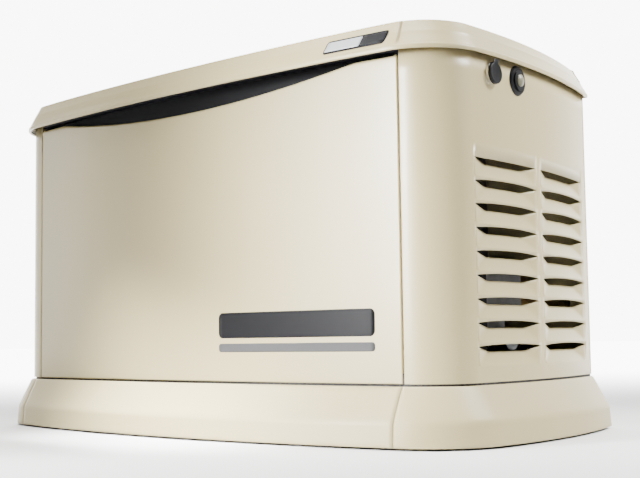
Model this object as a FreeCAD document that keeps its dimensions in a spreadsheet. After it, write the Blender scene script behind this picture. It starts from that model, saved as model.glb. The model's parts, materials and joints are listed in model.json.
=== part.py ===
import FreeCAD, Part
import math
import os
import re
import Sketcher

# Home standby generator: a pad mounted, gas fuelled engine-alternator set inside a
# louvred sheet metal case with a rear hinged lid and a removable front panel.
# Origin on the ground at the middle of the machine, +Z up, front towards -Y, millimetres.

document = FreeCAD.newDocument("home_standby_generator")
dims = document.addObject("Spreadsheet::Sheet", "dims")

SIZES = [
    # case skin in plan: bowed front, rounded front corners, bowed sides, flat back
    ("case_seam_x", 524.5), ("case_seam_y", -247.5), ("case_bow", 26), ("case_corner", 100),
    ("case_side_x", 614), ("case_side_y", -147.5), ("case_side_arc", 1585),
    ("case_rear_x", 542), ("case_rear_y", 336.5),
    ("case_low", 107), ("case_high", 678), ("skin", 2), ("case_flange", 18),
    ("rear_seam_x", 530), ("return_depth", 24),
    # pan and rails
    ("pan_top", 100), ("pan_plate", 3), ("pan_lip_high", 125),
    ("rail_half", 520), ("rail_front_y", -252), ("rail_rear_y", 312), ("rail_wide", 56),
    ("rail_plate", 4),
    ("anchor_x", 480), ("anchor_front_y", -225), ("anchor_rear_y", 275), ("anchor_hole", 6.5),
    # base fascia: lower edge, kink and top edge
    ("fascia_low", 4), ("fascia_kink", 45), ("fascia_high", 103), ("fascia_skin", 3), ("fascia_gap", 1),
    ("foot_seam_x", 531), ("foot_seam_y", -288.5), ("foot_bow", 54), ("foot_corner", 150),
    ("foot_side_x", 655), ("foot_side_y", -150), ("foot_side_arc", 1274),
    ("foot_rear_x", 581), ("foot_rear_y", 342.5), ("foot_draft", 3),
    ("brow_seam_x", 528), ("brow_seam_y", -257), ("brow_bow", 40.5), ("brow_corner", 105),
    ("brow_side_x", 616), ("brow_side_y", -150), ("brow_side_arc", 1585),
    ("brow_rear_x", 545), ("brow_rear_y", 337),
    ("fascia_split_x", 529), ("fascia_split_front_y", -150), ("fascia_split_rear_y", 320),
    # lid
    ("lid_low", 672), ("lid_bead", 681), ("lid_shoulder", 740), ("lid_lean", 33), ("lid_crown", 736),
    ("lid_seam_x", 523), ("lid_seam_y", -271.5), ("lid_bow", 24), ("lid_corner", 125),
    ("lid_side_x", 626), ("lid_side_y", -160), ("lid_side_arc", 1548),
    ("lid_rear_x", 550), ("lid_rear_y", 342.5), ("crown_long", 19600), ("crown_short", 5260),
    ("crown_mid_y", 30), ("lid_hem", 6), ("lid_hem_plate", 2), ("lid_hem_rear_y", 150),
    ("foam_low", 684.4), ("foam_half", 520), ("foam_front_y", -262), ("foam_rear_y", 300),
    ("seal_inner", 14), ("seal_outer", 4), ("seal_high", 684),
    # lid hinges
    ("hinge_y", 339.5), ("hinge_z", 667.5), ("knuckle", 3), ("hinge_pin", 1.5), ("hinge_fit", 0.06),
    ("hinge_x", 400), ("hinge_half", 40), ("hinge_leaf", 2), ("leaf_low", 628), ("leaf_high", 681),
    ("knuckle_long", 15.6), ("knuckle_gap", 0.5),
    # lid stay
    ("stay_arm", 170), ("stay_x", -530), ("stay_thick", 5), ("stay_half_high", 6), ("stay_pin", 4),
    ("stay_fit", 0.08), ("channel_x", -545), ("channel_plate", 2), ("channel_low", 655),
    ("channel_slot", 4.3),
    ("channel_near", 96), ("stay_bracket_x", -520),
    # front panel
    ("panel_half", 523.5), ("panel_skin", 1.6), ("panel_high", 669), ("panel_return", 12),
    ("panel_return_low", 128), ("grip_half", 430), ("grip_low", 635),
    ("decal_left", 97), ("decal_right", 468), ("decal_low", 158), ("decal_high", 236),
    ("decal_round", 14),
    ("decal_thick", 0.5),
    ("badge_left", 380), ("badge_right", 517), ("badge_low", 683), ("badge_high", 711), ("badge_lean", 9),
    ("badge_thick", 1.5),
    # front frame and divider
    ("frame_plate", 2), ("frame_setback", 20), ("header_low", 618), ("post_wide", 22), ("post_deep", 27),
    ("divider_x", 300), ("divider_plate", 2), ("divider_front_y", -225), ("divider_high", 640),
    ("divider_hole", 115), ("hose_hole", 20),
    # louvres
    ("louvre_top", 491.8), ("louvre_pitch", 40.6), ("louvre_high", 33), ("louvre_slot", 12),
    ("louvre_deep", 14), ("louvre_skin", 2), ("louvre_a_from", -157.5), ("louvre_a_to", 55.5),
    ("louvre_b_from", 73), ("louvre_b_to", 295.5),
    # status lamp
    ("lamp_y", -10.5), ("lamp_z", 644.6), ("lamp_rim", 27.5), ("lamp_rim_high", 4), ("lamp_ring", 18),
    ("lamp_ring_high", 7), ("lamp_body", 14), ("lamp_body_long", 24), ("lens", 11), ("lens_high", 13),
    # lid lock
    ("lock_y", -97.5), ("lock_z", 644), ("lock_flange", 20), ("lock_flange_high", 6), ("lock_barrel", 13),
    ("lock_barrel_long", 26), ("lock_plug", 9), ("lock_fit", 0.08), ("plug_face", 2.5),
    ("cam_plate", 3), ("cam_long", 38), ("cam_wide", 16), ("key_slot", 1.2),
    ("cover_back", 6.4), ("cover_front", 11), ("cover_round", 20), ("cover_pivot_z", 22.3),
    ("cover_pivot_u", 8.6), ("cover_pin", 1.5), ("cover_eye", 3.2), ("cover_eye_half", 5),
    ("striker_x", 578), ("striker_plate", 2), ("striker_front_y", -137), ("striker_rear_y", -112),
    ("striker_low", 628), ("striker_reach", 594),
    # engine
    ("crank_y", 30), ("crank_z", 290), ("engine_left", 20), ("engine_right", 200), ("deck", 85),
    ("deck_half", 65), ("sump_low", 150), ("sump_half", 106.066), ("cavity", 62), ("engine_wall", 14),
    ("journal", 17.5), ("journal_fit", 0.1), ("bank_front_x", 92), ("bank_rear_x", 128),
    ("bore", 40), ("barrel", 50), ("fin", 62), ("fin_thick", 2.5), ("fin_pitch", 9), ("head_low", 165),
    ("head_high", 205), ("head_half", 60), ("cover_high", 232), ("valve_cover_half", 46),
    ("plug_radius", 8), ("plug_reach", 104), ("web_round", 50), ("web_thick", 14),
    ("crankpin", 18), ("web_left_x", 66), ("web_right_x", 140),
    ("shaft_left", -262), ("shaft_right", 258),
    ("housing_round", 165), ("housing_left", 200), ("housing_right", 275), ("housing_skin", 2),
    ("housing_eye", 112), ("fan_round", 120), ("fan_hub", 30), ("fan_left", 206), ("fan_disc", 220),
    ("fan_right", 256), ("fan_blade", 3), ("fan_inner", 78),
    ("starter_y", -111.1), ("starter_z", 250), ("starter_round", 34), ("starter_left", 96),
    ("filter_x", 54), ("filter_z", 196), ("filter_round", 36), ("filter_long", 92),
    ("neck_x", 60), ("neck_z", 290), ("neck_round", 16), ("neck_bore", 12), ("neck_long", 22),
    ("cap_round", 22), ("cap_long", 14), ("cap_stem", 11.9),
    ("mixer_x", 110), ("mixer_neck", 12), ("mixer_round", 24), ("mixer_low", 450), ("mixer_high", 520),
    ("runner", 14), ("runner_z", 467), ("mixer_stub_z", 492), ("mixer_stub", 11),
    ("cleaner_left", 20), ("cleaner_right", 230), ("cleaner_front_y", -60), ("cleaner_rear_y", 120),
    ("cleaner_split", 566), ("cleaner_high", 608), ("cleaner_wall", 3),
    # exhaust
    ("muffler_x", -450), ("muffler_z", 345), ("muffler_round", 80), ("muffler_front_y", -170),
    ("muffler_rear_y", 230), ("muffler_skin", 3), ("pipe", 16), ("pipe_bore", 13), ("port_out", 162.6),
    ("port_up", 99), ("tail_left", -574), ("muffler_foot_y", 90), ("foot_plate", 5),
    # alternator
    ("stator_round", 130), ("stator_bore", 84.5), ("stator_left", -215), ("stator_right", -5),
    ("rotor_round", 83.5), ("rotor_left", -200), ("rotor_right", -20), ("bell_wall", 8),
    ("end_left", -250), ("end_foot_half", 62),
    ("mount_round", 22), ("mount_front", -62), ("mount_rear", 122), ("mount_engine_x", 110),
    ("mount_end_x", -232), ("mount_end_front", -10), ("mount_end_rear", 70),
    # battery
    ("battery_left", 340), ("battery_right", 547), ("battery_front_y", -206), ("battery_rear_y", -33),
    ("battery_high", 297), ("post_round", 9), ("post_high", 18), ("strap_x", 430), ("strap_wide", 26),
    ("strap_plate", 3),
    # controller, keys and breaker
    ("control_right", 560), ("control_front_y", -200), ("control_rear_y", -80), ("control_low", 470),
    ("control_high", 610), ("control_slope", 70), ("control_skin", 3), ("screen_x", 372),
    ("screen_wide", 92),
    ("screen_tall", 52), ("screen_thick", 2), ("key_x", 462), ("key_pitch", 32), ("key_round", 9),
    ("key_fit", 0.4), ("key_proud", 3.5), ("key_deep", 7),
    ("breaker_right", 392), ("breaker_front_y", -78), ("breaker_rear_y", -5), ("breaker_low", 480),
    ("breaker_high", 600), ("toggle_x", 347), ("toggle_half", 12), ("toggle_hub", 10), ("toggle_pin", 4),
    ("toggle_fit", 0.08), ("toggle_z", 592), ("toggle_high", 30), ("toggle_lean", 15),
    # gas train
    ("regulator_left", 420), ("regulator_right", 540), ("regulator_front_y", -24),
    ("regulator_rear_y", 90),
    ("regulator_low", 200), ("regulator_high", 300), ("regulator_cap", 52), ("knob_round", 17),
    ("knob_high", 16), ("knob_stem", 5), ("knob_fit", 0.08), ("knob_x", 510), ("hose_x", 450),
    ("hose_round", 15), ("hose_bore", 11), ("hose_bend", 45),
    ("inlet_x", 480), ("inlet_z", 250), ("inlet_round", 14), ("inlet_bore", 10.5), ("inlet_nut", 20),
    ("inlet_end_y", 342),
    ("conduit_x", 380), ("conduit_z", 170), ("conduit_round", 20), ("conduit_bore", 14),
    ("conduit_long", 45),
    ("conduit_nut", 26), ("conduit_end_y", 342),
    # case screws
    ("screw_x", 518), ("screw_shank", 2.5), ("screw_head", 5.5), ("screw_head_high", 3.5),
    ("screw_long", 12),
    ("screw_low_z", 160), ("screw_pitch_z", 225),
]
for row, (name, value) in enumerate(SIZES, start=1):
    dims.set("A%d" % row, name)
    dims.set("B%d" % row, str(value))
    dims.setAlias("B%d" % row, name)
document.recompute()
NAMES = {name for name, value in SIZES}


def ex(text):
    """A size written with sheet names becomes an expression on the sheet."""
    return re.sub(r"[a-z_][a-z_0-9]*", lambda m: "dims." + m.group() if m.group() in NAMES else m.group(),
                  str(text))


def val(text):
    return float(dims.evalExpression(ex(text)))


def bind(item, prop, text):
    item.setExpression(prop, ex(text))
    return item


def locate(item, x="0", y="0", z="0", axis=None, angle=None):
    if axis is not None:
        item.Placement = FreeCAD.Placement(FreeCAD.Vector(),
                                           FreeCAD.Rotation(FreeCAD.Vector(*axis), val(angle)))
        bind(item, "Placement.Rotation.Angle", angle)
    for letter, text in (("x", x), ("y", y), ("z", z)):
        bind(item, "Placement.Base." + letter, text)
    return item


def box(name, x0, x1, y0, y1, z0, z1):
    item = document.addObject("Part::Box", name)
    bind(item, "Length", "(%s)-(%s)" % (x1, x0))
    bind(item, "Width", "(%s)-(%s)" % (y1, y0))
    bind(item, "Height", "(%s)-(%s)" % (z1, z0))
    return locate(item, x0, y0, z0)


TURN = {"x": ((0, 1, 0), "90"), "y": ((1, 0, 0), "-90"), "z": ((0, 0, 1), "0")}


def rod(name, along, radius, start, end, across, up):
    """Cylinder along x, y or z; across and up are its other two coordinates in x, y, z order."""
    item = document.addObject("Part::Cylinder", name)
    bind(item, "Radius", radius)
    bind(item, "Height", "(%s)-(%s)" % (end, start))
    spot = {"x": (start, across, up), "y": (across, start, up), "z": (across, up, start)}[along]
    return locate(item, *spot, axis=TURN[along][0], angle=TURN[along][1])


def tube(name, along, outer, inner, start, end, across, up):
    return cut(name, rod(name + "_out", along, outer, start, end, across, up),
               rod(name + "_in", along, inner, "(%s)-1" % start, "(%s)+1" % end, across, up))


def fuse(name, *items):
    item = document.addObject("Part::MultiFuse", name)
    item.Shapes = list(items)
    return item


def group(name, *items):
    item = document.addObject("Part::Compound", name)
    item.Links = list(items)
    return item


def cut(name, base, *tools):
    item = document.addObject("Part::Cut", name)
    item.Base = base
    item.Tool = tools[0] if len(tools) == 1 else fuse(name + "_tools", *tools)
    return item


def common(name, base, tool):
    item = document.addObject("Part::Common", name)
    item.Base = base
    item.Tool = tool
    return item


def mirror(name, source):
    item = document.addObject("Part::Mirroring", name)
    item.Source = source
    item.Normal = FreeCAD.Vector(1, 0, 0)
    return item


def bow_arc(first, last, radius):
    """Arc from first to last bulging to the right of the travel direction for a positive radius."""
    span = math.hypot(last[0] - first[0], last[1] - first[1])
    rise = abs(radius) - math.sqrt(radius * radius - span * span / 4)
    rise = math.copysign(rise, radius)
    middle = ((first[0] + last[0]) / 2 + rise * (last[1] - first[1]) / span,
              (first[1] + last[1]) / 2 - rise * (last[0] - first[0]) / span)
    return Part.Arc(*[FreeCAD.Vector(p[0], p[1], 0) for p in (first, middle, last)])


def loop(sketch, points, radii=None):
    """Closed outline through points; a radius per side makes that side an arc, None keeps it straight."""
    radii = radii or [None] * len(points)
    spots = [(val(x), val(y)) for x, y in points]
    sides = []
    for index, radius in enumerate(radii):
        first, last = spots[index], spots[(index + 1) % len(spots)]
        if radius is None:
            line = Part.LineSegment(FreeCAD.Vector(*first, 0), FreeCAD.Vector(*last, 0))
            sides.append((sketch.addGeometry(line), 1, 2))
        else:
            start, stop = (1, 2) if val(radius) > 0 else (2, 1)
            sides.append((sketch.addGeometry(bow_arc(first, last, val(radius))), start, stop))
    for index, (side, start, stop) in enumerate(sides):
        follower = sides[(index + 1) % len(sides)]
        sketch.addConstraint(Sketcher.Constraint("Coincident", side, stop, follower[0], follower[1]))
        for kind, text in zip(("DistanceX", "DistanceY"), points[index]):
            rule = sketch.addConstraint(Sketcher.Constraint(kind, -1, 1, side, start, val(text)))
            bind(sketch, "Constraints[%d]" % rule, text)
        if radii[index] is not None:
            rule = sketch.addConstraint(Sketcher.Constraint("Radius", side, abs(val(radii[index]))))
            bind(sketch, "Constraints[%d]" % rule, "abs(%s)" % radii[index])
    return sketch


PLANES = {"XY": FreeCAD.Rotation(), "XZ": FreeCAD.Rotation(FreeCAD.Vector(1, 0, 0), 90),
          "YZ": FreeCAD.Rotation(0.5, 0.5, 0.5, 0.5)}


def sketch_on(name, plane, level):
    sketch = document.addObject("Sketcher::SketchObject", name)
    sketch.Placement = FreeCAD.Placement(FreeCAD.Vector(), PLANES[plane])
    bind(sketch, "Placement.Base." + {"XY": "z", "XZ": "y", "YZ": "x"}[plane], level)
    return sketch


def extrude(name, sketch, length, taper=None):
    item = document.addObject("Part::Extrusion", name)
    item.Base = sketch
    item.DirMode = "Normal"
    item.Solid = True
    bind(item, "LengthFwd", length)
    if taper is not None:
        bind(item, "TaperAngle", taper)
    return item


def prism(name, plane, low, high, *outlines, radii=None):
    """Outlines drawn on a plane and extruded between two levels along its normal."""
    level = high if plane == "XZ" else low
    sketch = sketch_on(name + "_sketch", plane, level)
    for outline in outlines:
        loop(sketch, outline, radii)
    return extrude(name, sketch, "(%s)-(%s)" % (high, low))


def plan(seam, side, rear):
    """Symmetric plan outline from its right hand corners: front seam, side start and rear."""
    corners = [seam, side, rear]
    left = [("-(%s)" % x, y) for x, y in corners]
    return [left[0], corners[0], corners[1], corners[2], left[2], left[1]]


def plan_radii(front, corner, side):
    return [front, corner, side, None, side, corner]


FRONT_ARC = "((case_seam_x^2+case_bow^2)/(2*case_bow))"
LID_ARC = "((lid_seam_x^2+lid_bow^2)/(2*lid_bow))"
FOOT_ARC = "((foot_seam_x^2+foot_bow^2)/(2*foot_bow))"
BROW_ARC = "((brow_seam_x^2+brow_bow^2)/(2*brow_bow))"


def inset_plan(prefix, front_arc, inset, rear_share):
    """Plan outline of the case or the lid moved inwards by an inset."""
    lean = "asin(%s_seam_x/%s)" % (prefix, front_arc)
    seam = ("%s_seam_x-(%s)*sin(%s)" % (prefix, inset, lean),
            "%s_seam_y+(%s)*cos(%s)" % (prefix, inset, lean))
    side = ("%s_side_x-(%s)" % (prefix, inset), "%s_side_y" % prefix)
    rear = ("%s_rear_x-(%s)*%s" % (prefix, inset, rear_share), "%s_rear_y-(%s)" % (prefix, inset))
    radii = plan_radii("(%s-(%s))" % (front_arc, inset), "(%s_corner-(%s))" % (prefix, inset),
                       "(%s_side_arc-(%s))" % (prefix, inset))
    return plan(seam, side, rear), radii


def case_form(name, inset, low, high):
    outline, radii = inset_plan("case", FRONT_ARC, inset, "0.735")
    return prism(name, "XY", low, high, outline, radii=radii)


def case_ring(name, outer, inner, low, high):
    return cut(name, case_form(name + "_out", outer, low, high),
               case_form(name + "_in", inner, "(%s)-1" % low, "(%s)+1" % high))


def lid_form(name, inset, low):
    """Solid bounded by the lid skin moved inwards by an inset: bead, leaning band and crowned roof."""
    outline, radii = inset_plan("lid", LID_ARC, inset, "0.726")
    bead = prism(name + "_bead", "XY", low, "lid_bead", outline, radii=radii)
    band = sketch_on(name + "_band_sketch", "XY", "lid_bead")
    loop(band, outline, radii)
    band = extrude(name + "_band", band, "lid_shoulder-lid_bead",
                   "-atan(lid_lean/(lid_shoulder-lid_bead))")
    long_way = rod(name + "_crown_long", "y", "crown_long", "-500", "500", "0",
                   "lid_crown-crown_long-(%s)" % inset)
    short_way = rod(name + "_crown_short", "x", "crown_short", "-800", "800", "crown_mid_y",
                    "lid_crown-crown_short-(%s)" % inset)
    body = common(name + "_a", fuse(name + "_b", bead, band), long_way)
    return common(name, body, short_way)


pieces = []


def piece(label, item):
    item.Label = label
    pieces.append(item)
    return item


def side_angle(y):
    """Lean of the side skin's outward normal at a given y, in degrees."""
    return "asin(((%s)-(%s))/case_side_arc)" % (y, SIDE_MID_Y)


# centre of the side arc, from its two ends and its radius
CHORD = "sqrt((case_rear_x-case_side_x)^2+(case_rear_y-case_side_y)^2)"
DROP = "sqrt(case_side_arc^2-(%s)^2/4)" % CHORD
SIDE_MID_X = "((case_side_x+case_rear_x)/2-%s*(case_rear_y-case_side_y)/%s)" % (DROP, CHORD)
SIDE_MID_Y = "((case_side_y+case_rear_y)/2+%s*(case_rear_x-case_side_x)/%s)" % (DROP, CHORD)


def on_side(item, y, z, side=1):
    """Set an item built around its own x axis onto the side skin, x pointing out of the case."""
    turn = side_angle(y) if side > 0 else "180 deg-" + side_angle(y)
    reach = "(%s+case_side_arc*cos(%s))" % (SIDE_MID_X, side_angle(y))
    return locate(item, reach if side > 0 else "-" + reach, y, z, (0, 0, 1), turn)


# ---------------------------------------------------------------- pan, rails and fascia
def rail(name, web_y, inner_y):
    low, high = (web_y, inner_y) if val(web_y) < 0 else (inner_y, web_y)
    body = box(name + "_body", "-rail_half", "rail_half", low, high, "0", "pan_top-pan_plate")
    inside = ("%s+rail_plate" % web_y, "%s+10" % inner_y) if val(web_y) < 0 else \
        ("%s-10" % inner_y, "%s-rail_plate" % web_y)
    room = box(name + "_room", "-rail_half-1", "rail_half+1", inside[0], inside[1],
               "rail_plate", "pan_top-pan_plate-rail_plate")
    return cut(name, body, room)


pan = fuse("pan_body", case_form("pan_floor", "skin", "pan_top-pan_plate", "pan_top"),
           case_ring("pan_lip", "skin", "2*skin", "pan_top-pan_plate", "pan_lip_high"),
           rail("rail_front", "rail_front_y", "rail_front_y+rail_wide"),
           rail("rail_rear", "rail_rear_y", "rail_rear_y-rail_wide"))
anchors = [rod("anchor_%d" % n, "z", "anchor_hole", "-1", "rail_plate+1", x, y)
           for n, (x, y) in enumerate([(x, y) for x in ("-anchor_x", "anchor_x")
                                       for y in ("anchor_front_y", "anchor_rear_y")])]
piece("base_pan", cut("base_pan_cut", pan, *anchors))


def fascia_form(name, inset, low, high):
    levels = [
        ("foot", FOOT_ARC, "(%s)" % inset, low),
        ("foot", FOOT_ARC, "(foot_draft+(%s))" % inset, "fascia_kink"),
        ("brow", BROW_ARC, "(%s)" % inset, high),
    ]
    sections = []
    for step, (prefix, arc, amount, level) in enumerate(levels):
        sketch = sketch_on("%s_level_%d" % (name, step), "XY", level)
        outline, radii = inset_plan(prefix, arc, amount, "0.73")
        sections.append(loop(sketch, outline, radii))
    item = document.addObject("Part::Loft", name)
    item.Sections = sections
    item.Solid = True
    item.Ruled = True
    return item


fascia = cut("fascia_shell", fascia_form("fascia_out", "0", "fascia_low", "fascia_high"),
             fascia_form("fascia_in", "fascia_skin", "fascia_low-1", "fascia_high-fascia_skin"),
             case_form("fascia_window", "skin", "fascia_low-1", "fascia_high+1"))
edge = "fascia_split_x-fascia_gap/2"
outer_edge = "fascia_split_x+fascia_gap/2"
front_cell = box("fascia_front_cell", "-(%s)" % edge, edge, "-500", "fascia_split_front_y", "-10", "200")
rear_cell = box("fascia_rear_cell", "-(%s)" % edge, edge, "fascia_split_rear_y", "500", "-10", "200")
right_cell = box("fascia_right_cell", outer_edge, "900", "-500", "500", "-10", "200")
piece("fascia_front", common("fascia_front_cut", fascia, front_cell))
piece("fascia_rear", common("fascia_rear_cut", fascia, rear_cell))
fascia_right = piece("fascia_right", common("fascia_right_cut", fascia, right_cell))
piece("fascia_left", mirror("fascia_left_copy", fascia_right))

# ---------------------------------------------------------------- case panels
skin_ring = case_ring("skin_ring", "0", "skin", "case_low", "case_high")
flange_ring = case_ring("flange_ring", "skin", "case_flange", "case_high-skin", "case_high")
wrap = fuse("wrap", skin_ring, flange_ring)
front_gap = box("front_gap", "-case_seam_x", "case_seam_x", "-500", "-200", "-10", "900")
rear_gap = box("rear_gap", "-rear_seam_x", "rear_seam_x", "300", "500", "-10", "900")
right_half = cut("right_half", box("right_block", "0", "900", "-500", "500", "-10", "900"), front_gap,
                 rear_gap)
side_skin = common("side_skin", wrap, right_half)
front_return = common("front_return",
                      case_form("front_return_form", "skin/2", "case_low+25", "case_high"),
                      box("front_return_box", "case_seam_x", "case_seam_x+skin", "-400",
                          "case_seam_y+return_depth", "case_low", "case_high"))
rear_return = box("rear_return", "rear_seam_x-return_depth", "case_rear_x-3*skin", "case_rear_y-2*skin",
                  "case_rear_y-skin", "pan_lip_high", "case_high-skin")


def louvre_rows(name, from_y, to_y, profile):
    """One profile per row, swept round the side arc between two y positions."""
    sketch = sketch_on(name + "_sketch", "XZ", "0")
    for row in range(9):
        top = "(louvre_top-%d*louvre_pitch)" % row
        loop(sketch, [(x, z.replace("TOP", top)) for x, z in profile])
    item = document.addObject("Part::Revolution", name)
    item.Source = sketch
    item.Axis = FreeCAD.Vector(0, 0, 1)
    item.Base = FreeCAD.Vector(0, 0, 0)
    item.Solid = True
    bind(item, "Angle", "%s-%s" % (side_angle(to_y), side_angle(from_y)))
    return locate(item, SIDE_MID_X, SIDE_MID_Y, "0", (0, 0, 1), side_angle(from_y))


ARC = "case_side_arc"
window = [(ARC + "-3*skin", "TOP-louvre_high"), (ARC + "+5", "TOP-louvre_high"),
          (ARC + "+5", "TOP"), (ARC + "-3*skin", "TOP")]
trough = [(ARC + "-skin/2", "TOP-louvre_high-louvre_skin"), (ARC + "-skin/2", "TOP-louvre_slot"),
          (ARC + "-louvre_deep-louvre_skin", "TOP-louvre_slot"),
          (ARC + "-louvre_deep-louvre_skin", "TOP-louvre_slot-louvre_skin")]
hollow = [(ARC + "+5", "TOP-louvre_high"), (ARC + "+5", "TOP-louvre_slot+5"),
          (ARC + "-louvre_deep", "TOP-louvre_slot+5"), (ARC + "-louvre_deep", "TOP-louvre_slot"),
          (ARC, "TOP-louvre_high")]
columns = (("a", "louvre_a_from", "louvre_a_to"), ("b", "louvre_b_from", "louvre_b_to"))
windows = [louvre_rows("window_" + tag, start, stop, window) for tag, start, stop in columns]
troughs = [louvre_rows("trough_" + tag, start + "-louvre_skin", stop + "+louvre_skin", trough)
           for tag, start, stop in columns]
hollows = [louvre_rows("hollow_" + tag, start, stop, hollow) for tag, start, stop in columns]
pockets = [cut("pocket_" + columns[n][0], troughs[n], hollows[n]) for n in range(2)]
louvred = fuse("louvred", cut("windowed", fuse("side_blank", side_skin, front_return, rear_return),
                              *windows),
               *pockets)
lock_hole = on_side(group("lock_hole", rod("lock_hole_rod", "x", "lock_barrel", "-40", "40", "0", "0")),
                    "lock_y", "lock_z")
lamp_hole = on_side(group("lamp_hole", rod("lamp_hole_rod", "x", "lamp_body", "-40", "40", "0", "0")),
                    "lamp_y", "lamp_z")
screw_holes = [rod("screw_hole_%d" % n, "y", "screw_shank", "300", "500", "screw_x",
                   "screw_low_z+%d*screw_pitch_z" % n) for n in range(3)]
piece("side_panel_right", cut("side_right_cut", louvred, lock_hole, lamp_hole, *screw_holes))

stay_post = box("stay_post", "stay_bracket_x-skin", "stay_bracket_x", "hinge_y-stay_arm-14",
                "hinge_y-stay_arm+14", "600", "hinge_z+12")
stay_arm = box("stay_arm", "-case_side_x", "stay_bracket_x", "hinge_y-stay_arm-14",
               "hinge_y-stay_arm+14", "600", "603")
stay_axle = rod("stay_axle", "x", "stay_pin", "stay_x-stay_thick-1", "stay_bracket_x", "hinge_y-stay_arm",
                "hinge_z")
stay_mount = common("stay_mount", fuse("stay_mount_parts", stay_post, stay_arm, stay_axle),
                    case_form("stay_limit", "skin/2", "case_low", "case_high+20"))
left_plain = mirror("side_left_copy", cut("side_left_base", louvred, *screw_holes))
piece("side_panel_left", fuse("side_left_fuse", left_plain, stay_mount))

rear_cell_tall = box("rear_cell_tall", "-rear_seam_x", "rear_seam_x", "300", "500", "-10", "900")
rear_sheet = common("rear_sheet", wrap, rear_cell_tall)
inlet_hole = rod("inlet_hole", "y", "inlet_round", "300", "400", "inlet_x", "inlet_z")
conduit_hole = rod("conduit_hole", "y", "conduit_round", "300", "400", "conduit_x", "conduit_z")
left_holes = [rod("screw_hole_left_%d" % n, "y", "screw_shank", "300", "500", "-screw_x",
                  "screw_low_z+%d*screw_pitch_z" % n) for n in range(3)]
right_holes = [rod("screw_hole_right_%d" % n, "y", "screw_shank", "300", "500", "screw_x",
                   "screw_low_z+%d*screw_pitch_z" % n) for n in range(3)]
piece("rear_panel", cut("rear_panel_cut", rear_sheet, inlet_hole, conduit_hole,
                        *(left_holes + right_holes)))

screws = []
for sign in ("-", ""):
    for n in range(3):
        height = "screw_low_z+%d*screw_pitch_z" % n
        tag = "%s%d" % ("l" if sign else "r", n)
        shank = rod("screw_shank_" + tag, "y", "screw_shank", "case_rear_y-screw_long", "case_rear_y",
                    sign + "screw_x", height)
        head = rod("screw_head_" + tag, "y", "screw_head", "case_rear_y", "case_rear_y+screw_head_high",
                   sign + "screw_x", height)
        screws.append(fuse("screw_" + tag, shank, head))
piece("case_screws", group("case_screws_group", *screws))

# ---------------------------------------------------------------- front frame, divider and seal
header = fuse("header",
              case_ring("header_flange", "2*skin", "frame_setback+frame_plate", "case_high-skin",
                        "case_high"),
              case_ring("header_web", "frame_setback", "frame_setback+frame_plate", "header_low",
                        "case_high"))
header = common("header_cut", header, box("header_cell", "-case_seam_x", "case_seam_x", "-400", "-200",
                                          "header_low-1", "case_high"))
posts = []
for sign in (-1, 1):
    near, far = ("case_seam_x-post_wide", "case_seam_x") if sign > 0 else ("-case_seam_x",
                                                                           "post_wide-case_seam_x")
    block = box("post_block_%d" % (sign + 1), near, far, "case_seam_y+14", "case_seam_y+14+post_deep",
                "pan_top", "case_high")
    room = box("post_room_%d" % (sign + 1), "%s+frame_plate" % near, "%s-frame_plate" % far,
               "case_seam_y+14+frame_plate", "case_seam_y+60", "pan_top-1", "case_high+1")
    posts.append(cut("post_%d" % (sign + 1), block, room))
piece("front_frame", fuse("front_frame_fuse", header, *posts))

divider = box("divider_sheet", "divider_x", "divider_x+divider_plate", "divider_front_y",
              "case_rear_y-2*skin", "pan_top", "divider_high")
piece("divider", cut("divider_cut", divider,
                     rod("divider_air", "x", "divider_hole", "250", "350", "crank_y", "crank_z"),
                     rod("divider_hose", "x", "hose_hole", "250", "350", "crank_y", "mixer_stub_z")))
piece("lid_seal", case_ring("lid_seal_ring", "seal_outer", "seal_inner", "case_high", "seal_high"))

# ---------------------------------------------------------------- lid
lid_core = lid_form("lid_core", "skin", "lid_low-1")
hem_outline, hem_radii = inset_plan("lid", LID_ARC, "lid_hem", "0.726")
hem_hole = prism("hem_hole", "XY", "lid_low-1", "lid_bead", hem_outline, radii=hem_radii)
lid_outline, lid_radii = inset_plan("lid", LID_ARC, "skin/2", "0.726")
hem = cut("hem", prism("hem_plate", "XY", "lid_low", "lid_low+lid_hem_plate", lid_outline,
                       radii=lid_radii), hem_hole)
hem = common("hem_cut", hem, box("hem_cell", "-900", "900", "-500", "lid_hem_rear_y", "600", "700"))
piece("lid", fuse("lid_fuse", cut("lid_shell", lid_form("lid_skin", "0", "lid_low"), lid_core), hem))

foam_block = box("foam_block", "-foam_half", "foam_half", "foam_front_y", "foam_rear_y", "foam_low",
                 "lid_crown")
foam_front = case_form("foam_front", "seal_outer", "foam_low", "lid_crown+2")
piece("lid_foam", common("lid_foam_cut", common("foam_in_lid", lid_core, foam_block), foam_front))

wing_front = "hinge_y-2*stay_arm-16"
wing_rear = "hinge_y-channel_near"
web = box("channel_web", "channel_x", "channel_x+channel_plate", wing_front, wing_rear, "channel_low",
          "lid_crown")
slot_front = "hinge_y-2*stay_arm"
slot_rear = "hinge_y-2*stay_arm*cos(70)+4"
slot = box("channel_slot_box", "channel_x-5", "channel_x+10", slot_front, slot_rear,
           "hinge_z-channel_slot", "hinge_z+channel_slot")
slot_ends = [rod("channel_slot_end_%d" % n, "x", "channel_slot", "channel_x-5", "channel_x+10", at,
                 "hinge_z")
             for n, at in enumerate((slot_front, slot_rear))]
tab = box("channel_tab", "channel_x", "channel_x+16", wing_front, wing_rear, "lid_crown-24", "lid_crown")
tab = common("channel_tab_cut", tab,
             cut("channel_tab_form", lid_core, lid_form("channel_inner", "2*skin", "lid_low-2")))
web = common("channel_web_cut", web, lid_core)
piece("stay_channel", fuse("stay_channel_fuse", cut("channel_slotted", web, slot, *slot_ends), tab))

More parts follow.
